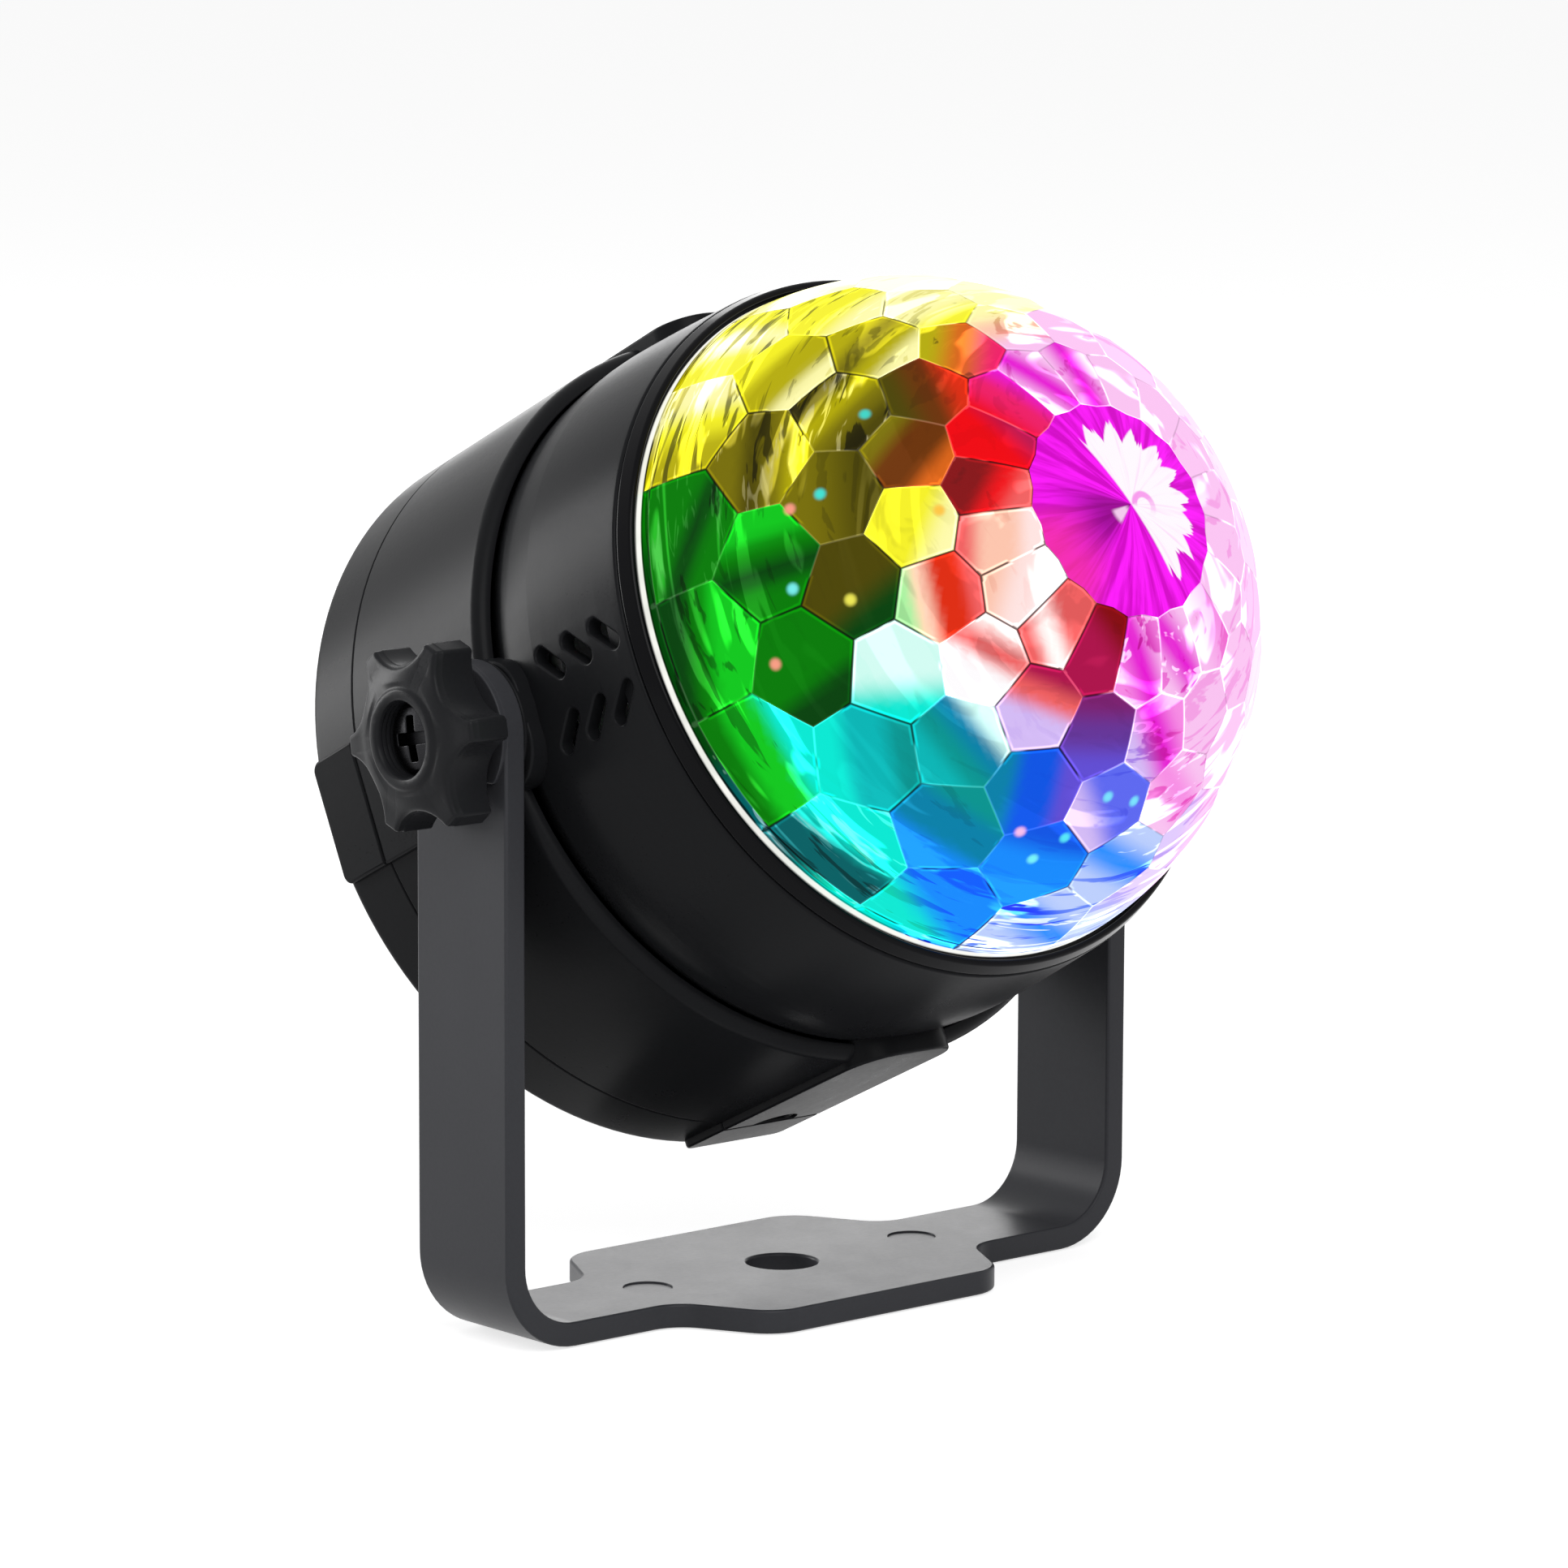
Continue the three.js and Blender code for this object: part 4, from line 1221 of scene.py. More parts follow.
        loop = loop.soft(0.022, 0.028) * loop.soft(0.048, 0.040) * turn.soft(-0.6, 0.35)
        pale = sheet.blend(loop * 0.7, pale, self.star_curl)
        tone = sheet.blend(white, magenta, pale)
        near = sheet.along(flat, 90, 206).soft(0.93, 0.985)
        shard = near * share.soft(0.26, 0.20) * share.soft(0.02, 0.10)
        return sheet.blend(shard * 0.85, tone, self.star_shard)

    def edges(self, sheet: Shader, tone: Wire, rim: Wire, spot: Wire, height: Wire) -> Wire:
        """Paints the fine lines between the facets as painted light: highlight lines weaker towards the left, a
        glow just inside the edges on the left, and dark shade lines stronger towards the left.

        Args:
            sheet: The node sheet.
            tone: The colour so far.
            rim: The distance to the facet's edge, in millimetres.
            spot: The point's direction.
            height: Its part along the axis.

        Returns:
            The colour.
        """
        change = sheet.noise(spot, 5.0, 2.0).soft(0.46, 0.54)
        left = sheet.along(spot, 90, 185).soft(-0.05, 0.35)
        middle = height.soft(0.58, 0.70) * height.soft(0.94, 0.88)
        # Painted highlight along the facet edges, weaker on the left side and stronger towards the middle height.
        light = rim.soft(0.18, 0.06) * change * (0.75 - left * 0.45 + middle * 0.20)
        pure = sheet.scaled(tone, 3.0)
        # Painted glow just inside the edges on the left side.
        painted_edge_glow = rim.soft(0.50, 0.26) * rim.soft(0.12, 0.22) * left * change.soft(1.0, 0.4) * 0.35
        tone = sheet.blend(light, tone, sheet.blend(0.55 - left * 0.45, pure, self.edge_light))
        tone = sheet.blend(painted_edge_glow, tone, pure)
        # Painted shade: dark lines along the edges, stronger on the left side.
        line = rim.soft(0.16, 0.05) * (1 - change) * (0.30 + left * 0.60)
        return sheet.blend(line, tone, sheet.scaled(tone, 0.07))

    def foot(self, sheet: Shader, tone: Wire, spot: Wire, height: Wire) -> Wire:
        """Paints a pale glowing band at the dome's foot with a darker line just above it, and paints what the ring
        hides unlit, as shade.

        Args:
            sheet: The node sheet.
            tone: The colour so far.
            spot: The point's direction.
            height: Its part along the axis.

        Returns:
            The colour.
        """
        # Painted light: the pale glowing band; painted shade: the part under the ring is unlit.
        band = height.soft(0.106, 0.101) * (0.86 + sheet.noise(spot, 7.0, 2.0).soft(0.42, 0.58) * 0.14)
        line = height.soft(0.113, 0.109) * height.soft(0.102, 0.107)
        tone = sheet.blend(line * 0.7, tone, sheet.scaled(tone, 0.2))
        tone = sheet.blend(band, tone, self.foot_light)
        return sheet.blend(height.soft(0.088, 0.078), tone, UNLIT)

    def points(self, sheet: Shader, tone: Wire, spot: Wire) -> Wire:
        """Adds the small painted sparkles of light.

        Args:
            sheet: The node sheet.
            tone: The colour so far.
            spot: The point's direction.

        Returns:
            The colour.
        """
        for sparkle in self.sparkles:
            near = sheet.along(spot, sparkle.polar, sparkle.azimuth)
            glow = near.soft(math.cos(math.radians(sparkle.size)), 1.0)
            tone = sheet.blend(glow * glow * 0.95, tone, sparkle.colour)
        return tone


@dataclass(frozen=True)
class Floor:
    """The pale studio floor."""

    name: str
    colour: Triple
    lift: float
    dust: float = 60.0
    dust_share: float = 0.985

    def material(self) -> Finish:
        """Builds the material.

        Returns:
            The new material.
        """
        sheet = Shader(self.name)
        place = sheet.where()
        dust = sheet.noise(place, self.dust, 3.0)
        seen = sheet.seen_directly()
        tone = sheet.blend(dust, self.colour, tuple(c * self.dust_share for c in self.colour))
        return sheet.finish({
            "Base Color": tone,
            "Roughness": 0.9,
            "Specular IOR Level": 0.0,
            "Emission Color": sheet.blend(seen, BLACK, WHITE),
            "Emission Strength": self.lift,
        })


@dataclass
class Finishes:
    """Every finish of the projector by its material slot, built once."""

    crystal: LitCrystal
    by_slot: dict[str, Finish] = field(init=False)

    def __post_init__(self) -> None:
        """Builds the materials."""
        finishes = {
            "bracket": MouldedPlastic("bracket_plastic", (0.050, 0.051, 0.057), 0.34, specular=0.12),
            "shell": MouldedPlastic("shell_plastic", (0.0130, 0.0134, 0.0148), 0.30, specular=0.045),
            "ring": MouldedPlastic("ring_gloss", (0.002, 0.002, 0.003), 0.14, 1200.0, 0.000003,
                                   specular=0.08),
            "rubber": Rubber("grommet_rubber", (0.012, 0.012, 0.013)),
            "knob": MouldedPlastic("knob_plastic", (0.018, 0.0185, 0.0205), 0.30, 2300.0, 0.000016,
                                   specular=0.07),
            "black_screw": Metal("blackened_steel", (0.018, 0.018, 0.020), 0.24, (0.008, 0.008, 0.009)),
            "steel": Metal("zinc_steel", (0.62, 0.63, 0.64), 0.30, (0.45, 0.44, 0.42)),
            "aluminium": Metal("brushed_aluminium", (0.80, 0.81, 0.82), 0.36, (0.62, 0.63, 0.65), 1400.0),
            "circuit_board": BoardLaminate("board_laminate", (0.012, 0.11, 0.04), (0.03, 0.22, 0.08)),
            "lens": ClearPlastic("lens_clear", (0.95, 0.97, 1.0)),
            "led_red": LightChip("chip_red", (1.0, 0.03, 0.02)),
            "led_green": LightChip("chip_green", (0.03, 1.0, 0.08)),
            "led_blue": LightChip("chip_blue", (0.03, 0.08, 1.0)),
            "black_part": MouldedPlastic("black_nylon", (0.018, 0.018, 0.019), 0.5),
            "white_part": MouldedPlastic("white_nylon", (0.72, 0.71, 0.67), 0.45, drift=0.06),
            "capacitor": MouldedPlastic("capacitor_sleeve", (0.02, 0.05, 0.16), 0.3, coat=0.4),
            "crystal": self.crystal,
        }
        self.by_slot = {slot_name: finish.material() for slot_name, finish in finishes.items()}

    def dress_inner_nodes(self) -> None:
        """Gives every CAD node the finish of its material slot in the record."""
        for row in frame["record"]["subparts"]:
            finish = self.by_slot[row["material_slot"]]
            node = frame["nodes"][row["node"]]
            if not node.material_slots:
                node.data.materials.append(finish)
            for place in node.material_slots:
                place.material = finish


# Pieces.


def settle(
    name: str,
    form: Form,
    place: Matrix,
    body: Body,
    finishes: Finishes,
    slot_name: str,
    stands_for: Sequence[str],
    crease: float = 38.0,
) -> None:
    """Makes a mesh into a piece of the projector.

    Args:
        name: The piece's name.
        form: Its mesh in millimetres, in its own frame.
        place: That frame in the row frame.
        body: The body that it rides on.
        finishes: The projector's finishes.
        slot_name: The record's material slot, which names its finish.
        stands_for: The CAD nodes that it replaces.
        crease: Edges sharper than this many degrees stay sharp.
    """
    bmesh.ops.recalc_face_normals(form, faces=form.faces[:])
    bmesh.ops.scale(form, vec=(MM, MM, MM), verts=form.verts[:])
    piece = placed(name, form)
    mesh = piece.data
    mesh.shade_smooth()
    mesh.set_sharp_from_angle(angle=math.radians(crease))
    mesh.materials.append(finishes.by_slot[slot_name])
    piece.matrix_world = place
    piece.modifiers.new("even_shading", "WEIGHTED_NORMAL").keep_sharp = True
    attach(piece, body.value)
    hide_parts(*stands_for)
    log.info("%s: %d faces, rides on %s", name, len(mesh.polygons), body.value)


@dataclass(frozen=True)
class CrossScrew:
    """A screw with a low round head and a cross recess, its head's top at height 0."""

    head_radius: float
    head_height: float
    shank_radius: float
    shank_length: float
    cross_length: float
    cross_width: float
    cross_depth: float
    lip: float = 0.4
    crown: float = 0.3
    pitch: float = 0.5
    cross_round: float = 0.35
    cross_lip: float = 0.12
    core_share: float = 0.7
    flank_share: float = 0.88
    run_out: float = 0.1
    cuts: int = 4
    segments: int = 48
    thread_segments: int = 20

    def build(self) -> Form:
        """Builds the head, its recess and the threaded shank.

        Returns:
            The mesh in millimetres.
        """
        long, short = self.cross_length / 2, self.cross_width / 2
        arm = [(long, -short), (long, short), (short, short)]
        cross = []
        for quarter in range(4):
            c, s = round(math.cos(quarter * QUARTER)), round(math.sin(quarter * QUARTER))
            cross += [(x * c - y * s, x * s + y * c, short * self.cross_round) for x, y in arm]
        head = Sheet(circle(self.head_radius, self.segments), depth=self.head_height, lip=self.lip, steps=4,
                     dimples=[(rounded(cross, 3), self.cross_depth)], dimple_lip=self.cross_lip).build()
        places = [k * self.head_radius / self.cuts for k in range(1 - self.cuts, self.cuts)]
        sliced(head, places, ACROSS)
        sliced(head, places, ALONG)
        shaped(head, self.crowned)
        low, high = -self.head_height - self.shank_length, -self.head_height
        thread = [(0.0, low), (self.shank_radius * self.core_share, low)]
        for k in range(int(self.shank_length / self.pitch)):
            thread.append((self.shank_radius * self.flank_share, low + self.pitch * (k + 0.5)))
            thread.append((self.shank_radius, low + self.pitch * (k + 1)))
        thread.append((self.shank_radius, high + self.run_out))
        return merged(head, turned(thread, self.thread_segments))

    def crowned(self, place: Vector) -> Vector:
        """Lowers a point of the flat head onto its crown.

        Args:
            place: The point.

        Returns:
            Its new place.
        """
        fall = self.crown / self.head_radius**2 * (place.x**2 + place.y**2)
        return Vector((place.x, place.y, place.z - fall * (1 + place.z / self.head_height)))


@dataclass
class Bracket:
    """The U-shaped bracket: one strip, bent twice, that widens into a base plate."""

    finishes: Finishes
    half_width: float = 50.0
    thickness: float = 2.93
    strip_width: float = 16.85
    bend: float = 10.5
    bend_steps: int = 14
    pivot_height: float = 73.37
    plate_depth: float = 40.0
    corner_at: float = 14.5
    corner_radius: float = 6.0
    fillet_radius: float = 5.0
    shoulder: float = 62.0
    hole_radius: float = 4.4
    hole_steps: int = 48
    end_steps: int = 32
    round_steps: int = 9
    mark_radius: float = 3.0
    mark_at: float = 21.5
    mark_depth: float = 0.2
    mark_lip: float = 0.12
    mark_steps: int = 32
    lip: float = 0.38
    boss_inset: float = 0.02
    boss_rise: float = 0.4
    boss_root: float = 0.8
    boss_drop: float = 5.3
    boss_clear: float = 6.0
    boss_corner: float = 0.9
    boss_lip: float = 0.2
    boss_steps: int = 44

    @property
    def flat(self) -> float:
        """Half the flat length of the base."""
        return self.half_width - self.bend

    @property
    def sweep(self) -> float:
        """The length of one bend along the strip's middle."""
        return QUARTER * (self.bend - self.thickness / 2)

    @property
    def arm(self) -> float:
        """How far along the flat strip the pivot lies."""
        return self.flat + self.sweep + self.pivot_height - self.bend

    def blank(self) -> Loop:
        """Draws the strip's outline as it lies flat.

        Returns:
            The closed loop, anticlockwise.
        """
        half, deep = self.strip_width / 2, self.plate_depth / 2
        slope = math.tan(math.radians(self.shoulder))
        corner = self.corner_at + self.corner_radius * math.tan(math.radians(self.shoulder / 2))
        foot = corner + (deep - half) / slope
        right = [(x, y, 0.0) for x, y in arc(self.arm, 0, half, -90, 90, self.end_steps)]
        left = [(x, y, 0.0) for x, y in arc(-self.arm, 0, half, 90, 270, self.end_steps)]
        top = [(foot, half, self.fillet_radius), (corner, deep, self.corner_radius),
               (-corner, deep, self.corner_radius), (-foot, half, self.fillet_radius)]
        bottom = [(-x, -y, radius) for x, y, radius in top]
        return rounded(right + top + left + bottom, self.round_steps)

    def bent(self, place: Vector) -> Vector:
        """Bends a point of the flat strip up into the U.

        Args:
            place: The point: along the strip, across it and its height below the upper face.

        Returns:
            Where it lies on the bracket.
        """
        side, run, rise = math.copysign(1, place.x), abs(place.x), self.thickness + place.z
        if run <= self.flat:
            return Vector((place.x, place.y, rise))
        if run < self.flat + self.sweep:
            turn = (run - self.flat) / self.sweep * QUARTER
            radius = self.bend - rise
            out = self.flat + radius * math.sin(turn)
            return Vector((side * out, place.y, self.bend - radius * math.cos(turn)))
        return Vector((side * (self.half_width - rise), place.y, self.bend + run - self.flat - self.sweep))

    def boss(self, side: Side) -> Form:
        """Builds the low pad outside one arm's round end.

        Args:
            side: The arm.

        Returns:
            The mesh in millimetres.
        """
        radius = self.strip_width / 2 - self.boss_inset
        low = math.degrees(math.asin(-self.boss_drop / radius))
        start, end = low + self.boss_clear, 180 - self.boss_clear - low
        edge = [(x, y, 0.0) for x, y in arc(0, 0, radius, start, end, self.boss_steps)]
        reach = radius * math.cos(math.radians(low))
        edge += [(sign * reach, -self.boss_drop, self.boss_corner) for sign in (-1, 1)]
        form = Sheet(rounded(edge, 4), [circle(PIVOT_BORE, PIVOT_STEPS)], self.boss_rise + self.boss_root,
                     self.boss_lip).build()
        face = self.half_width + self.boss_rise
        return shaped(form, lambda v: Vector((side.value * (face + v.z), v.x, self.pivot_height + v.y)))

    def build(self) -> None:
        """Builds and dresses the bracket."""
        marks = [(circle(self.mark_radius, self.mark_steps, sign * self.mark_at), self.mark_depth)
                 for sign in (-1, 1)]
        holes = [circle(self.hole_radius, self.hole_steps)]
        holes += [circle(PIVOT_BORE, PIVOT_STEPS, sign * self.arm) for sign in (-1, 1)]
        form = Sheet(self.blank(), holes, self.thickness, self.lip, dimples=marks, dimple_lip=self.mark_lip,
                     steps=4).build()
        steps = [self.flat + self.sweep * k / self.bend_steps for k in range(self.bend_steps + 1)]
        sliced(form, [sign * step for step in steps for sign in (-1, 1)], ACROSS)
        shaped(form, self.bent)
        form = merged(form, *[self.boss(side) for side in Side])
        tilt = next(joint for joint in frame["joints"] if joint["name"] == "head_tilt")
        place = Matrix.Translation((0, tilt["pos_m"][1], 0))
        settle("bracket_strip", form, place, Body.BRACKET, self.finishes, "bracket", ["bracket"])


@dataclass(frozen=True)
class Shells:
    """The sizes that the head's shells share."""

    radius: float = 46.3
    wall: float = 1.9
    front: float = 2.0
    back: float = -34.0
    seam: float = -25.0
    gap: float = 0.05
    inner_round: float = 0.1
    seam_round: float = 0.22
    pad_face: float = 46.6
    pad_width: float = 15.6
    pad_depth: float = 3.6
    pad_lip: float = 0.35
    pad_seam_round: float = 0.25
    lower_pad: int = 3
    inlet: float = 3.3
    inlet_from: float = 38.0
    inlet_to: float = 50.0
    inlet_steps: int = 40
    round_steps: int = 7
    pad_steps: int = 9
    segments: int = 144

    def pad(self, low: float, high: float, low_round: float, high_round: float, turn: int) -> Form:
        """Builds a stretch of one flat pad.

        Args:
            low, high: Its ends along the head's axis.
            low_round, high_round: Their corner rounds.
            turn: Which pad it is, in quarter turns from +X.

        Returns:
            The mesh in millimetres.
        """
        half = self.pad_width / 2
        edge = [(-half, low, low_round), (half, low, low_round), (half, high, high_round),
                (-half, high, high_round)]
        form = Sheet(rounded(edge, self.pad_steps), depth=self.pad_depth, lip=self.pad_lip).build()
        around = Matrix.Rotation(turn * QUARTER, 3, "Z")
        return shaped(form, lambda v: around @ Vector((self.pad_face + v.z, v.x, v.y)))

    def bored(self, form: Form) -> Form:
        """Cuts the cord's way in through the lower pad.

        Args:
            form: The mesh to cut.

        Returns:
            The cut mesh.
        """
        drill = turned([(0, self.inlet_from), (self.inlet, self.inlet_from), (self.inlet, self.inlet_to),
                        (0, self.inlet_to)], self.inlet_steps)
        drill.transform(Matrix.Translation((0, 0, self.seam)) @ Matrix.Rotation(QUARTER, 4, "X"))
        parts = []
        for name, mesh_form in (("work", form), ("drill", drill)):
            bmesh.ops.recalc_face_normals(mesh_form, faces=mesh_form.faces[:])
            parts.append(placed(name, mesh_form))
        cut = parts[0].modifiers.new("bore", "BOOLEAN")
        cut.operation, cut.solver, cut.object = "DIFFERENCE", "FAST", parts[1]
        left = bmesh.new()
        left.from_object(parts[0], bpy.context.evaluated_depsgraph_get())
        for part in parts:
            mesh = part.data
            bpy.data.objects.remove(part)
            bpy.data.meshes.remove(mesh)
        return left


@dataclass
class RearShell:
    """The wide rear shell, its pads and the bosses for the pivots."""

    head: Head
    finishes: Finishes
    sizes: Shells
    front_round: float = 1.7
    step_round: float = 0.15
    pad_ends: tuple[float, ...] = (8.0, 10.0, 8.0, 4.6)
    pad_round: float = 5.2
    boss_radius: float = 8.2
    boss_face: float = 46.97
    boss_depth: float = 8.5
    boss_lip: float = 0.35
    boss_steps: int = 64

    def build(self) -> None:
        """Builds and dresses the shell."""
        s = self.sizes
        low, inner = s.seam + s.gap, s.radius - s.wall
        edge = [(inner, low, s.inner_round), (s.radius, low, s.seam_round),
                (s.radius, s.front, self.front_round), (inner, s.front, self.step_round)]
        form = s.bored(revolved(edge, s.round_steps, s.segments))
        for quarter, end in enumerate(self.pad_ends):
            pad = s.pad(low, end, s.pad_seam_round, self.pad_round, quarter)
            form = merged(form, s.bored(pad) if quarter == s.lower_pad else pad)
        for side in Side:
            boss = Sheet(circle(self.boss_radius, self.boss_steps), [circle(PIVOT_BORE, PIVOT_STEPS)],
                         self.boss_depth, self.boss_lip).build()
            boss.transform(Matrix.Translation((0, PIVOT_DROP, 0)) @ side.turn
                           @ Matrix.Translation((0, 0, self.boss_face)))
            form = merged(form, boss)
        settle("rear_housing", form, self.head.place, Body.HEAD, self.finishes, "shell", ["rear_shell"])


@dataclass
class RearCap:
    """The rear cap with its air slots and screw recesses."""

    head: Head
    finishes: Finishes
    sizes: Shells
    edge: float = 1.1
    floor: float = 2.2
    lip: float = 0.25
    corner_rise: float = 0.5
    slot_width: float = 2.0
    slot_first: float = 3.0
    slot_pitch: float = 4.4
    slot_length: float = 24.0
    slot_step: float = 3.0
    slot_count: int = 4
    screw_circle: float = 41.4
    screw_sink: float = 0.1
    recess_radius: float = 2.9
    recess_depth: float = 1.75
    recess_lip: float = 0.2
    recess_steps: int = 28
    pad_inset: float = 0.4
    pad_round: float = 1.4
    screw: CrossScrew = CrossScrew(
        head_radius=2.6, head_height=1.6, shank_radius=1.4, shank_length=16.6, cross_length=2.9,
        cross_width=0.75, cross_depth=0.9, lip=0.35, crown=0.15,
    )

    def screw_places(self) -> Loop:
        """Where the four cap screws stand."""
        return arc(0, 0, self.screw_circle, 45, 315, 3)

    def build(self) -> None:
        """Builds and dresses the cap and its screws."""
        s = self.sizes
        flat = s.radius - self.edge
        slots = [slot(self.slot_length - k * self.slot_step, self.slot_width, 0.0,
                      self.slot_first + k * self.slot_pitch, 0.0) for k in range(self.slot_count)]
        recesses = [(circle(self.recess_radius, self.recess_steps, x, y), self.recess_depth)
                    for x, y in self.screw_places()]
        plate = Sheet(circle(flat, s.segments), slots, self.floor, self.lip, walled=False, dimples=recesses,
                      dimple_lip=self.recess_lip).build()
        shaped(plate, lambda v: Vector((v.x, v.y, s.back - v.z)))
        inner, high = s.radius - s.wall, s.seam - s.gap
        rim = arc(flat, s.back + self.edge, self.edge, -90, 0, s.round_steps)
        side = rounded([(s.radius, s.back + self.edge + self.corner_rise, 0), (s.radius, high, s.seam_round),
                        (inner, high, s.inner_round), (inner, s.back + self.floor, 0)], 4, closed=False)
        form = merged(plate, turned([*rim, *side], s.segments))
        bmesh.ops.remove_doubles(form, verts=form.verts[:], dist=WELD)
        for quarter in range(4):
            pad = s.pad(s.back + self.pad_inset, high, self.pad_round, s.pad_seam_round, quarter)
            form = merged(form, pad)
        settle("rear_cover", form, self.head.place, Body.HEAD, self.finishes, "shell", ["rear_cap"])
        for number, (x, y) in enumerate(self.screw_places(), 1):
            place = self.head.place @ shift(x, y, s.back + self.screw_sink) @ Matrix.Rotation(math.pi, 4, "X")
            settle(f"cover_screw_{number}", self.screw.build(), place, Body.HEAD, self.finishes,
                   "black_screw", [f"cap_screw_{number}"])


@dataclass
class CordBush:
    """The rubber bush in the cord's way in, turned about that way's axis."""

    head: Head
    finishes: Finishes
    sizes: Shells
    bore: float = 2.15
    neck: float = 3.12
    collar: float = 4.35
    inner: float = 40.7
    collar_end: float = 41.9
    outer: float = 46.35
    inner_round: float = 0.1
    collar_round: float = 0.15
    outer_round: float = 0.35
    round_steps: int = 4

    def build(self) -> None:
        """Builds and dresses the bush."""
        edge = [(self.bore, self.inner, self.inner_round), (self.collar, self.inner, self.collar_round),
                (self.collar, self.collar_end, self.collar_round), (self.neck, self.collar_end, 0.0),
                (self.neck, self.outer, self.outer_round), (self.bore, self.outer, self.outer_round)]
        place = self.head.at(self.sizes.seam) @ Matrix.Rotation(QUARTER, 4, "X")
        form = revolved(edge, self.round_steps, self.sizes.inlet_steps)
        settle("cord_bush", form, place, Body.HEAD, self.finishes, "rubber", ["cord_grommet"])


@dataclass
class FrontShell:
    """The front shell with its slanted air slots."""

    head: Head
    finishes: Finishes
    radius: float = 44.1
    swell: float = 0.6
    swell_end: float = 0.3
    taper: float = 0.35
    taper_power: float = 1.35
    rear: float = 2.0
    front: float = 26.2
    inner: float = 42.0
    wide_inner: float = 42.95
    step_level: float = 22.0
    spigot: float = 5.0
    vent_first: float = 12.45
    vent_pitch: float = 4.95
    vent_offset: float = 4.2
    vent_length: float = 5.85
    vent_width: float = 1.95
    vent_tilt: float = 46.0
    vent_rows: int = 3
    vent_lip: float = 0.3
    lip: float = 0.4
    segments: int = 120
    levels: int = 12

    def reach(self, level: float) -> float:
        """Gives the shell's radius.

        Args:
            level: The place along the head's axis.

        Returns:
            The radius there.
        """
        share = (level - self.rear) / (self.front - self.rear)
        if share < self.swell_end:
            return self.radius + self.swell * math.sin(share / self.swell_end * QUARTER)
        fall = (share - self.swell_end) / (1 - self.swell_end)
        return self.radius + self.swell - (self.swell + self.taper) * fall**self.taper_power

    def vents(self) -> list[Loop]:
        """Draws the air slots on the unrolled shell.

        Returns:
            The slots' loops.
        """
        loops = []
        for side in Side:
            middle = self.radius * math.pi * (0.5 if side is Side.RIGHT else 1.5)
            for half in (1, -1):
                x = middle + side.value * half * self.vent_offset
                tilt = -side.value * half * self.vent_tilt
                for row in range(self.vent_rows):
                    y = self.vent_first + self.vent_pitch * row
                    loops.append(slot(self.vent_length, self.vent_width, x, y, tilt))
        return loops

    def rolled(self, place: Vector) -> Vector:
        """Rolls a point of the flat sheet up into the shell.

        Args:
            place: The point: round the shell, along the head's axis and out of the sheet.

        Returns:
            Where it lies on the shell.
        """
        turn = place.x / self.radius - QUARTER
        reach = self.reach(place.y) + place.z
        return Vector((reach * math.cos(turn), reach * math.sin(turn), place.y))

    def build(self) -> None:
        """Builds and dresses the shell."""
        length = 2 * math.pi * self.radius
        edge = self.front - self.lip
        outline = [(0.0, self.rear), (length, self.rear), (length, edge), (0.0, edge)]
        form = Sheet(outline, self.vents(), self.radius - self.inner, self.vent_lip, walled=False,
                     steps=4).build()
        sliced(form, [length * k / self.segments for k in range(1, self.segments)], ACROSS)
        sliced(form, [self.rear + (edge - self.rear) * k / self.levels for k in range(1, self.levels)], ALONG)
        shaped(form, self.rolled)
        profile = arc(self.reach(edge) - self.lip, edge, self.lip, 0, 90, 4)
        profile += [(self.wide_inner, self.front), (self.wide_inner, self.step_level),
                    (self.inner, self.step_level)]
        form = merged(form, turned(profile, self.segments))
        end = self.rear - self.spigot
        spigot = [(self.inner, end), (self.radius, end), (self.radius, self.rear), (self.inner, self.rear)]
        form = merged(form, turned(spigot, self.segments))
        bmesh.ops.remove_doubles(form, verts=form.verts[:], dist=WELD)
        settle("front_housing", form, self.head.place, Body.HEAD, self.finishes, "shell", ["front_shell"])


@dataclass
class DomeRing:
    """The glossy ring round the dome's foot."""

    head: Head
    finishes: Finishes
    inner: float = 42.3
    foot: float = 43.72
    top: float = 43.02
    low: float = 26.3
    high: float = 28.45
    inner_foot_round: float = 0.1
    foot_round: float = 0.3
    top_round: float = 0.55
    inner_top_round: float = 0.25
    round_steps: int = 6
    segments: int = 160

    def build(self) -> None:
        """Builds and dresses the ring."""
        edge = [(self.inner, self.low, self.inner_foot_round), (self.foot, self.low, self.foot_round),
                (self.top, self.high, self.top_round), (self.inner, self.high, self.inner_top_round)]
        form = revolved(edge, self.round_steps, self.segments)
        settle("dome_ring", form, self.head.place, Body.HEAD, self.finishes, "ring", ["front_ring"])


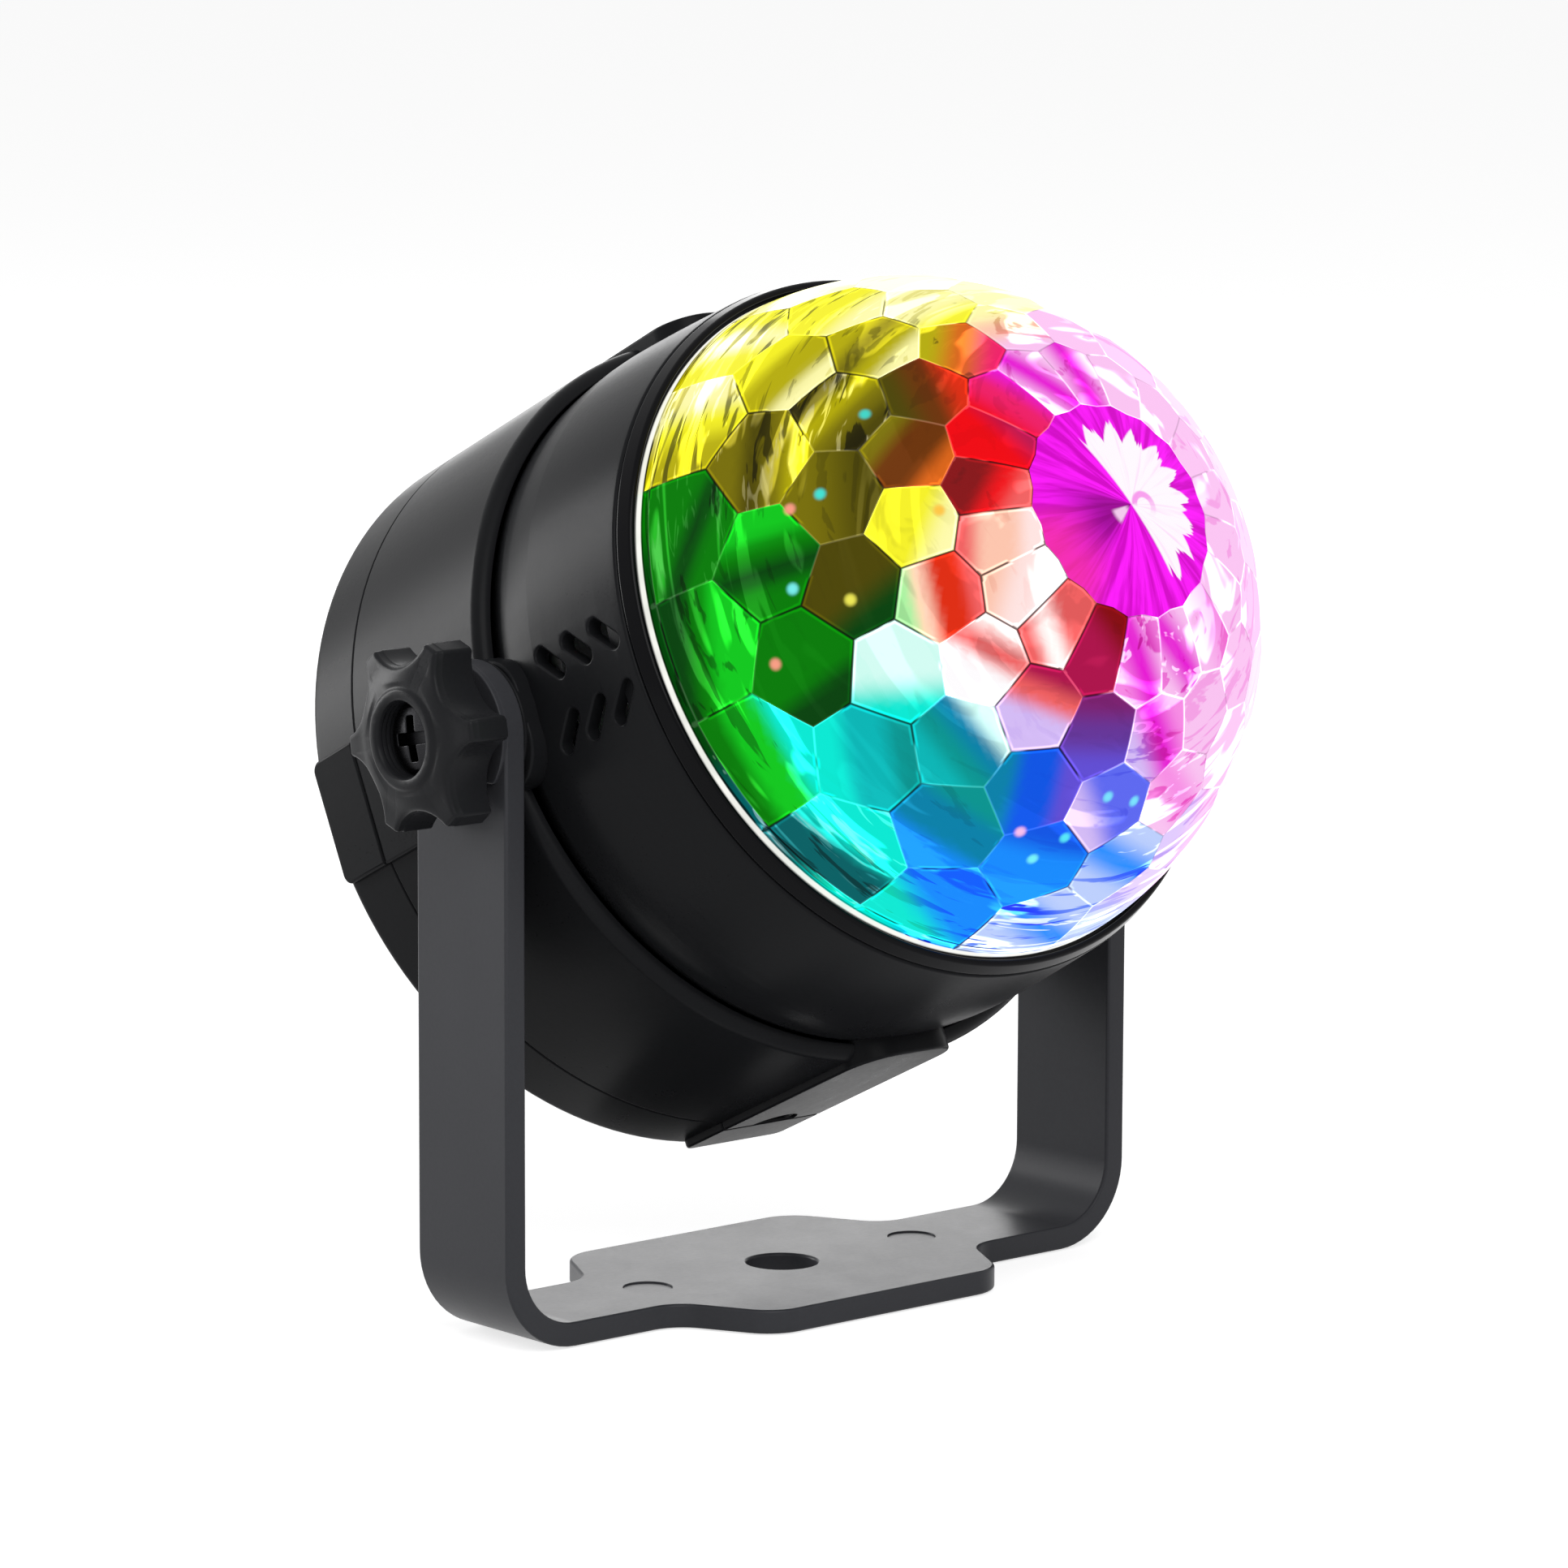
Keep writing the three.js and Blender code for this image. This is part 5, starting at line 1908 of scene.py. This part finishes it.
@dataclass
class Dome:
    """The faceted dome that turns on the head's axis."""

    head: Head
    finishes: Finishes
    plan: FacetPlan
    light: tuple[LitFacet, ...]
    radius: float = 42.0
    inner: float = 39.3
    centre: float = 24.4
    foot: float = 0.3
    flange_radius: float = 42.65
    flange_height: float = 1.3
    flange_inset: float = 0.2
    flange_segments: int = 144
    steps: int = 6
    told_apart: float = 1e5
    crease: float = 180.0

    def patches(self, grid: list[list[Any]]) -> Iterator[tuple[Any, Any, Any]]:
        """Lists the small triangles of one wedge of a facet.

        Args:
            grid: Its vertices, row by row from the facet's middle.

        Yields:
            The three vertices of each triangle that has an area.
        """
        for a in range(self.steps):
            for b in range(a + 1):
                pair = [(grid[a][b], grid[a + 1][b], grid[a + 1][b + 1])]
                if b < a:
                    pair.append((grid[a][b], grid[a + 1][b + 1], grid[a][b + 1]))
                yield from (patch for patch in pair if len(set(patch)) == 3)

    def skin(self) -> Form:
        """Builds the facets, with their directions, painted light colours and distances to their edges.

        Returns:
            The mesh in millimetres.
        """
        form = bmesh.new()
        facet = form.faces.layers.float_vector.new("facet")
        facet_glow = form.loops.layers.float_color.new("facet_glow")
        rim = form.verts.layers.float.new("rim")
        known: dict[tuple[int, ...], Any] = {}

        def corner(direction: Vector, walls: list[Vector]) -> Any:
            """Gives the vertex that lies in a direction.

            Args:
                direction: The direction from the dome's middle.
                walls: What points to this facet from its neighbours.

            Returns:
                The vertex, made once.
            """
            key = tuple(round(c * self.told_apart) for c in direction)
            if key not in known:
                place = direction * self.radius
                place.z = max(place.z, self.foot)
                known[key] = form.verts.new(place)
                gap = min((wall.dot(direction) for wall in walls), default=1.0)
                known[key][rim] = max(0.0, gap) * self.radius
            return known[key]

        rows = {(row.ring, row.step): row for row in self.light}
        for number, (middle, corners) in enumerate(self.plan.cells()):
            ring, step = divmod(number, self.plan.around)
            row = rows.get((ring, step), LitFacet(ring, step, 0, 0.5, (Tint.PALE_PINK,)))
            walls = [wall.normalized() for wall in self.plan.walls(middle)]
            hub = sum(corners, Vector()).normalized()
            for i, first in enumerate(corners):
                second = corners[(i + 1) % len(corners)]
                grid = [[corner((hub * (self.steps - a) + first * (a - b) + second * b).normalized(), walls)
                         for b in range(a + 1)] for a in range(self.steps + 1)]
                for patch in self.patches(grid):
                    face = form.faces.new(patch)
                    face[facet] = middle
                    for loop in face.loops:
                        loop[facet_glow] = row.shade(self.plan, loop.vert.co.normalized())
        return form

    def build(self) -> None:
        """Builds and dresses the dome."""
        top = self.foot + self.flange_height
        flange = turned([(self.inner, self.foot), (self.flange_radius, self.foot), (self.flange_radius, top),
                         (self.radius - self.flange_inset, top)], self.flange_segments)
        settle("dome_crystal", merged(self.skin(), flange), self.head.at(self.centre), Body.DOME,
               self.finishes, "crystal", ["dome"], self.crease)


@dataclass
class ClampKnob:
    """One star knob with its clamp screw and washer.

    The rows of pairs are sections of the knob: mouth and ring_edge as (outwards, below the face) from the
    recess and from the ring round it, flank as (inwards, below the face) and under as (inwards, above the
    lobes' back) from the star's outline.
    """

    side: Side
    head: Head
    finishes: Finishes
    lobes: int = 6
    phase: float = 15.0
    tip: float = 11.7
    tip_round: float = 0.45
    tip_slack: float = 0.01
    tip_steps: int = 3
    hollow_steps: int = 12
    root: float = 8.4
    tip_width: float = 2.4
    bore: float = 2.5
    back: float = 51.4
    lobe_back: float = 52.0
    front: float = 58.9
    hub_radius: float = 6.2
    recess_radius: float = 4.56
    recess_floor: float = 55.2
    floor_inset: float = 0.1
    rib_first: float = 0.25
    rib_pitch: float = 0.62
    rib_depth: float = 0.13
    rib_rise: float = 0.2
    rib_end: float = 0.32
    rib_count: int = 5
    mouth: tuple[Point, ...] = ((0.0, 0.32), (0.1, 0.1), (0.32, 0.0))
    ring_radius: float = 6.0
    ring_edge: tuple[Point, ...] = ((-0.42, 0.0), (-0.16, 0.1), (0.02, 0.32), (0.3, 0.4))
    sink: float = 0.22
    face_rings: int = 6
    shoulder: float = 8.6
    shoulder_drop: float = 0.9
    shoulder_power: float = 1.15
    tip_drop: float = 1.4
    lip: float = 0.45
    lip_steps: int = 4
    flank: tuple[Point, ...] = ((0.0, 1.15), (-0.1, 1.25))
    under: tuple[Point, ...] = ((-0.1, 0.3), (0.2, 0.0))
    crease: float = 50.0
    washer_radius: float = 6.3
    washer_face: float = 51.3
    washer_thickness: float = 0.8
    washer_lip: float = 0.12
    washer_steps: int = 56
    screw_top: float = 57.3
    screw_head: float = 2.0
    screw_tip: float = 37.17

    def star(self) -> Loop:
        """Draws the knob's outline: hollow flanks between round-cornered lobes.

        Returns:
            The closed loop, anticlockwise.
        """
        half = math.asin(self.tip_width / 2 / self.tip)
        beta = math.pi / self.lobes - half
        far = (self.tip**2 - self.root**2) / (2 * (self.tip * math.cos(beta) - self.root))
        radius = far - self.root
        spread = math.degrees(math.atan2(self.tip * math.sin(beta), far - self.tip * math.cos(beta)))
        points: Loop = []
        for lobe in range(self.lobes):
            middle = 360 * (lobe + 0.5) / self.lobes
            x, y = far * math.cos(math.radians(middle)), far * math.sin(math.radians(middle))
            points += arc(x, y, radius, middle + 180 + spread, middle + 180 - spread, self.hollow_steps)
        at_tip = self.tip - self.tip_slack
        corners = [(x, y, self.tip_round if math.hypot(x, y) > at_tip else 0.0) for x, y in points]
        return rounded(corners, self.tip_steps)

    def crown(self, x: float, y: float) -> float:
        """Gives the height of the knob's face.

        Args:
            x, y: The place across the knob.

        Returns:
            The height.
        """
        radius = math.hypot(x, y)
        if radius < self.shoulder:
            share = max(0.0, (radius - self.ring_radius) / (self.shoulder - self.ring_radius))
            return self.front - self.shoulder_drop * share**self.shoulder_power
        share = (radius - self.shoulder) / (self.tip - self.shoulder)
        return self.front - self.shoulder_drop - (self.tip_drop - self.shoulder_drop) * share

    def recess(self) -> Loop:
        """Draws the section of the bore, the ribbed recess and the ring round it.

        Returns:
            Its points as (radius, height).
        """
        wide, deep = self.recess_radius, self.recess_radius - self.rib_depth
        section = [(self.bore, self.back), (self.bore, self.recess_floor),
                   (wide - self.floor_inset, self.recess_floor)]
        for k in range(self.rib_count):
            height = self.recess_floor + self.rib_first + self.rib_pitch * k
            section += [(wide, height), (deep, height + self.rib_rise), (deep, height + self.rib_end)]
        section += [(wide + out, self.front - drop) for out, drop in self.mouth]
        return section + [(self.ring_radius + out, self.front - drop) for out, drop in self.ring_edge]

    def body(self) -> Form:
        """Builds the knob about Z.

        Returns:
            The mesh in millimetres.
        """
        star = self.star()
        turns = [math.atan2(y, x) for x, y in star]

        def level(radius: float, height: float) -> list[Triple]:
            """Lays a round loop with the star's points."""
            return [(radius * math.cos(a), radius * math.sin(a), height) for a in turns]

        loops = [level(radius, height) for radius, height in self.recess()]
        inner = inset(star, self.lip)
        start = self.ring_radius + self.ring_edge[-1][0]
        for k in range(1, self.face_rings + 1):
            share = k / self.face_rings
            rest = 1 - share
            ring = [(start * math.cos(a) * rest + x * share, start * math.sin(a) * rest + y * share)
                    for (x, y), a in zip(inner, turns)]
            loops.append([(u, v, self.crown(u, v) - self.sink * rest**2) for u, v in ring])
        for k in range(1, self.lip_steps + 1):
            turn = math.radians(90 * k / self.lip_steps)
            drop = self.lip * (1 - math.cos(turn))
            loops.append([(x, y, self.crown(x, y) - drop)
                          for x, y in inset(star, self.lip * (1 - math.sin(turn)))])
        for distance, drop in self.flank:
            loops.append([(x, y, self.crown(x, y) - drop) for x, y in inset(star, distance)])
        for distance, rise in self.under:
            loops.append([(x, y, self.lobe_back + rise) for x, y in inset(star, distance)])
        loops += [level(self.hub_radius, self.lobe_back), level(self.hub_radius, self.back),
                  level(self.bore, self.back)]
        form = lofted(loops)
        bmesh.ops.remove_doubles(form, verts=form.verts[:], dist=WELD)
        return form

    def build(self) -> None:
        """Builds and dresses the knob, its screw and its washer."""
        label = self.side.label
        body = Body(f"knob_{label}")
        tilt = Matrix.Rotation(math.radians(self.phase), 4, "X")
        place = self.head.place @ shift(0, PIVOT_DROP, 0) @ tilt @ self.side.turn
        settle(f"star_knob_{label}", self.body(), place, body, self.finishes, "knob", [f"knob_{label}"],
               self.crease)
        screw = CrossScrew(
            head_radius=4.1, head_height=self.screw_head, shank_radius=2.4,
            shank_length=self.screw_top - self.screw_head - self.screw_tip, cross_length=5.4,
            cross_width=1.4, cross_depth=1.5, lip=0.5, crown=0.35,
        ).build()
        settle(f"knob_screw_{label}", screw, place @ shift(0, 0, self.screw_top), body, self.finishes,
               "black_screw", [f"clamp_screw_{label}"])
        washer = Sheet(circle(self.washer_radius, self.washer_steps), [circle(PIVOT_BORE, PIVOT_STEPS)],
                       self.washer_thickness, self.washer_lip).build()
        settle(f"knob_washer_{label}", washer, place @ shift(0, 0, self.washer_face), body, self.finishes,
               "black_screw", [f"clamp_washer_{label}"])


# The studio.


@dataclass
class Studio:
    """The floor, lamps, background and camera; the target and distance in millimetres, the rest in metres."""

    azimuth: float = -41.125
    elevation: float = 8.936
    roll: float = 0.216
    distance: float = 811.14
    target: Triple = (0.062, 6.89, 62.306)
    lens: float = 153.19
    sensor: float = 36.0
    clip: Point = (0.05, 20.0)
    ambient: float = 0.28
    lamp_target: Triple = (0.0, 0.0, 0.065)
    floor_size: float = 6.0
    floor_drop: float = 0.0002

    def back(self) -> Vector:
        """The direction from the object to the camera."""
        a, e = math.radians(self.azimuth), math.radians(self.elevation)
        return Vector((math.sin(a) * math.cos(e), -math.cos(a) * math.cos(e), math.sin(e)))

    def camera(self) -> None:
        """Sets the camera at the photograph's angle."""
        back = self.back()
        right = (-back).cross(Vector(UPWARD)).normalized()
        up = right.cross(-back)
        turn = math.radians(self.roll)
        c, s = math.cos(turn), math.sin(turn)
        right, up = right * c + up * s, up * c - right * s
        data = bpy.data.cameras.new("camera")
        data.lens, data.sensor_width = self.lens, self.sensor
        data.clip_start, data.clip_end = self.clip
        camera = bpy.data.objects.new("camera", data)
        place = Matrix((right, up, back)).transposed().to_4x4()
        place.translation = (Vector(self.target) + back * self.distance) * MM
        camera.matrix_world = place
        bpy.context.scene.collection.objects.link(camera)
        bpy.context.scene.camera = camera

    def lamp(self, name: str, place: Triple, size: Point, power: float) -> None:
        """Hangs one soft lamp that points at the object's middle.

        Args:
            name: Its name.
            place: Where it hangs, in metres.
            size: Its width and height, in metres.
            power: Its power in watts.
        """
        data = bpy.data.lights.new(name, "AREA")
        data.shape, data.size, data.size_y, data.energy = "RECTANGLE", size[0], size[1], power
        lamp = bpy.data.objects.new(name, data)
        lamp.location = place
        towards = Vector(self.lamp_target) - Vector(place)
        lamp.rotation_euler = towards.to_track_quat("-Z", "Y").to_euler()
        lamp.visible_camera = False
        bpy.context.scene.collection.objects.link(lamp)

    def backdrop(self) -> None:
        """Makes the white surroundings and the pale floor."""
        sheet = Shader("studio_white", bpy.data.worlds)
        strength = self.ambient + sheet.seen_directly() * (1 - self.ambient)
        glow = sheet.node("ShaderNodeBackground", {}, {"Color": WHITE, "Strength": strength})
        sheet.tree.links.new(glow.socket, sheet.output.inputs["Surface"])
        bpy.context.scene.world = sheet.material
        form = bmesh.new()
        bmesh.ops.create_grid(form, x_segments=2, y_segments=2, size=self.floor_size)
        floor = placed("floor", form)
        floor.data.materials.append(Floor("studio_floor", (0.8, 0.8, 0.8), 0.72).material())
        floor.location.z = -self.floor_drop

    def build(self) -> None:
        """Builds the studio."""
        self.backdrop()
        self.lamp("key", place=(-0.52, -0.98, 1.14), size=(1.0, 1.0), power=11.0)
        self.lamp("left_back", place=(-0.50, 1.05, 0.28), size=(0.42, 0.6), power=7.0)
        self.lamp("right_back", place=(0.85, 0.95, 0.35), size=(0.6, 0.6), power=2.0)
        self.camera()
        bpy.context.scene.view_settings.view_transform = "Standard"


# The light in the dome.


def facet_light() -> tuple[LitFacet, ...]:
    """Lays out the colours of the dome's facets, ring by ring from the tip.

    The rows are heading, play and bands by (ring, step); the far side follows a few pairs of colours.

    Returns:
        The light in each facet.
    """
    t = Tint
    rows: dict[tuple[int, int], tuple[float, float, tuple[Tint, ...]]] = {
        (1, 17): (60, 0.25, (t.DARK_RED, t.DARK_RED, t.RED, t.CORAL)),
        (1, 0): (70, 0.2, (t.CORAL, t.PEACH, t.PEACH, t.BLUSH)),
        (1, 1): (40, 0.2, (t.PEACH, t.BLUSH, t.WHITE)),
        (1, 2): (60, 0.15, (t.CORAL, t.BLUSH, t.CORAL, t.CORAL)),
        (1, 3): (60, 0.1, (t.CRIMSON, t.CRIMSON, t.DARK_RED)),
        (1, 4): (30, 0.9, (t.PINK, t.MAGENTA, t.PALE_PINK)),
        (1, 5): (30, 0.9, (t.PALE_PINK, t.MAGENTA, t.PALE_PINK)),
        (1, 6): (0, 0.5, (t.PALE_PINK, t.PINK)),
        (1, 13): (180, 0.6, (t.PALE_PINK, t.MAGENTA, t.PALE_PINK)),
        (1, 14): (200, 0.6, (t.PALE_PINK, t.MAGENTA, t.PALE_PINK)),
        (1, 15): (180, 0.15, (t.RED, t.ROSE, t.MAGENTA)),
        (1, 16): (150, 0.08, (t.RED, t.RED, t.CRIMSON)),
        (2, 0): (60, 0.12, (t.LEMON, t.LEMON, t.CREAM)),
        (2, 1): (75, 0.1, (t.MINT, t.PEACH, t.EMBER, t.EMBER, t.CORAL)),
        (2, 2): (110, 0.2, (t.WHITE, t.WHITE, t.CORAL, t.BLUSH)),
        (2, 3): (100, 0.1, (t.LILAC, t.LILAC, t.CORAL, t.CRIMSON)),
        (2, 4): (100, 0.06, (t.VIOLET, t.PURPLE, t.PLUM)),
        (2, 5): (30, 0.7, (t.LILAC, t.MAGENTA, t.PINK)),
        (2, 14): (90, 0.6, (t.CREAM, t.PEACH, t.PALE_PINK)),
        (2, 15): (120, 0.6, (t.MUSTARD, t.ORANGE, t.ROSE)),
        (2, 16): (130, 0.2, (t.DARK_OLIVE, t.BROWN, t.EMBER)),
        (2, 17): (60, 0.05, (t.OLIVE, t.BROWN, t.BROWN, t.ORANGE)),
        (3, 0): (200, 0.04, (t.DEEP_GREEN, t.DARK_OLIVE, t.DARK_OLIVE)),
        (3, 1): (150, 0.1, (t.CYAN, t.ICE, t.ICE)),
        (3, 2): (80, 0.1, (t.AQUA, t.TEAL, t.LAGOON, t.ICE)),
        (3, 3): (20, 0.05, (t.LAGOON, t.BLUE, t.BLUE, t.VIOLET)),
        (3, 4): (40, 0.3, (t.LILAC, t.PERIWINKLE, t.PERIWINKLE)),
        (3, 5): (40, 0.8, (t.PALE_PINK, t.PINK, t.PALE_PINK)),
        (3, 13): (0, 0.5, (t.CREAM,)),
        (3, 14): (90, 0.5, (t.CREAM, t.CREAM, t.LEMON)),
        (3, 15): (85, 0.45, (t.MUSTARD, t.OLIVE, t.MUSTARD, t.CREAM)),
        (3, 16): (60, 0.85, (t.DARK_OLIVE, t.MUSTARD, t.OLIVE, t.DARK_OLIVE)),
        (3, 17): (90, 0.3, (t.OLIVE, t.DARK_OLIVE)),
        (4, 0): (0, 0.35, (t.BRIGHT_GREEN, t.GREEN, t.DEEP_GREEN, t.GREEN)),
        (4, 1): (10, 0.05, (t.GREEN, t.GREEN, t.GREEN, t.DEEP_GREEN)),
        (4, 2): (60, 0.05, (t.CYAN, t.AQUA, t.AQUA, t.TEAL)),
        (4, 3): (90, 0.2, (t.SKY, t.LAGOON, t.LAGOON, t.TEAL)),
        (4, 4): (90, 0.15, (t.SKY, t.SKY, t.BLUE)),
        (4, 5): (60, 0.9, (t.PALE_BLUE, t.SKY, t.PALE_BLUE)),
        (4, 6): (0, 0.6, (t.LILAC, t.PALE_PINK)),
        (4, 14): (0, 0.5, (t.CREAM,)),
        (4, 15): (90, 0.7, (t.LEMON, t.LEMON, t.CREAM)),
        (4, 16): (65, 0.45, (t.LEMON, t.MUSTARD, t.MUSTARD, t.CREAM)),
        (4, 17): (90, 0.8, (t.OLIVE, t.DARK_OLIVE, t.OLIVE, t.MUSTARD)),
        (5, 0): (75, 0.6, (t.DEEP_GREEN, t.GREEN, t.BRIGHT_GREEN, t.BRIGHT_GREEN)),
        (5, 1): (85, 0.6, (t.GREEN, t.BRIGHT_GREEN, t.BRIGHT_GREEN, t.CYAN)),
        (5, 2): (95, 0.7, (t.DARK_TEAL, t.DARK_TEAL, t.CYAN, t.CYAN)),
        (5, 3): (60, 0.6, (t.CYAN, t.SKY, t.SKY)),
        (5, 4): (60, 1.0, (t.PALE_BLUE, t.SKY, t.PALE_BLUE)),
        (5, 5): (60, 0.7, (t.PALE_BLUE, t.LILAC)),
        (5, 14): (0, 0.8, (t.CREAM, t.LEMON, t.CREAM)),
        (5, 15): (0, 0.8, (t.LEMON, t.CREAM, t.LEMON)),
        (5, 16): (0, 0.8, (t.CREAM, t.LEMON, t.MUSTARD)),
        (5, 17): (60, 0.7, (t.GREEN, t.GREEN, t.DEEP_GREEN, t.GREEN)),
        (6, 0): (0, 0.6, (t.DEEP_GREEN,)),
        (6, 1): (0, 0.8, (t.DEEP_GREEN, t.DARK_TEAL)),
        (6, 2): (0, 0.8, (t.DARK_TEAL, t.CYAN)),
        (6, 3): (0, 1.0, (t.CYAN, t.SKY)),
        (6, 4): (0, 1.0, (t.PALE_BLUE,)),
        (6, 5): (0, 1.0, (t.PALE_BLUE,)),
        (6, 14): (0, 0.8, (t.CREAM,)),
        (6, 15): (0, 1.0, (t.CREAM, t.MUSTARD)),
        (6, 16): (0, 1.0, (t.CREAM, t.MUSTARD)),
        (6, 17): (0, 0.6, (t.GREEN, t.DEEP_GREEN)),
    }
    far: dict[int, tuple[Tint, Tint]] = {
        7: (t.PALE_PINK, t.LILAC), 8: (t.PINK, t.MAGENTA), 9: (t.MAGENTA, t.ROSE),
        10: (t.ROSE, t.CORAL), 11: (t.ORANGE, t.PEACH), 12: (t.PEACH, t.LEMON),
    }
    heading_per_ring, far_play = 35, 0.8
    for step, (first, second) in far.items():
        for ring in (4, 5, 6) if 7 < step < 12 else (5, 6):
            rows[(ring, step)] = (ring * heading_per_ring, far_play, (first, second, first))
    return tuple(LitFacet(ring, step, *row) for (ring, step), row in rows.items())


def dome_finish() -> LitCrystal:
    """Sets the dome's painted glow with its sparkles.

    Returns:
        The finish.
    """
    return LitCrystal("dome_crystal", (
        Sparkle(58, 180, (0.2, 0.9, 0.9)),
        Sparkle(65, 191, (1.0, 0.35, 0.25)),
        Sparkle(50, 186, (0.9, 0.85, 0.1)),
        Sparkle(56, 165, (1.0, 0.35, 0.25)),
        Sparkle(51, 163, (0.05, 0.8, 0.7)),
        Sparkle(45, 144, (0.05, 0.7, 0.6)),
        Sparkle(60, 252, (0.2, 0.95, 0.95)),
        Sparkle(55, 256, (0.1, 0.85, 0.95)),
        Sparkle(47, 262, (0.2, 0.8, 1.0)),
        Sparkle(48, 270, (0.2, 0.8, 1.0)),
        Sparkle(56, 246, (1.0, 0.55, 0.85)),
        Sparkle(33, 171, (1.0, 0.55, 0.05)),
    ))


def main() -> None:
    """Builds the projector's pieces in order and sets the studio."""
    logging.basicConfig(level=logging.INFO, format="%(message)s")
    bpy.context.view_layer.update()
    finishes = Finishes(dome_finish())
    finishes.dress_inner_nodes()
    head = Head.from_joints(frame["joints"])
    sizes = Shells()
    Bracket(finishes).build()
    RearShell(head, finishes, sizes).build()
    RearCap(head, finishes, sizes).build()
    CordBush(head, finishes, sizes).build()
    FrontShell(head, finishes).build()
    DomeRing(head, finishes).build()
    Dome(head, finishes, FacetPlan(), facet_light()).build()
    for side in Side:
        ClampKnob(side, head, finishes).build()
    Studio().build()


if __name__ == "__main__":
    main()
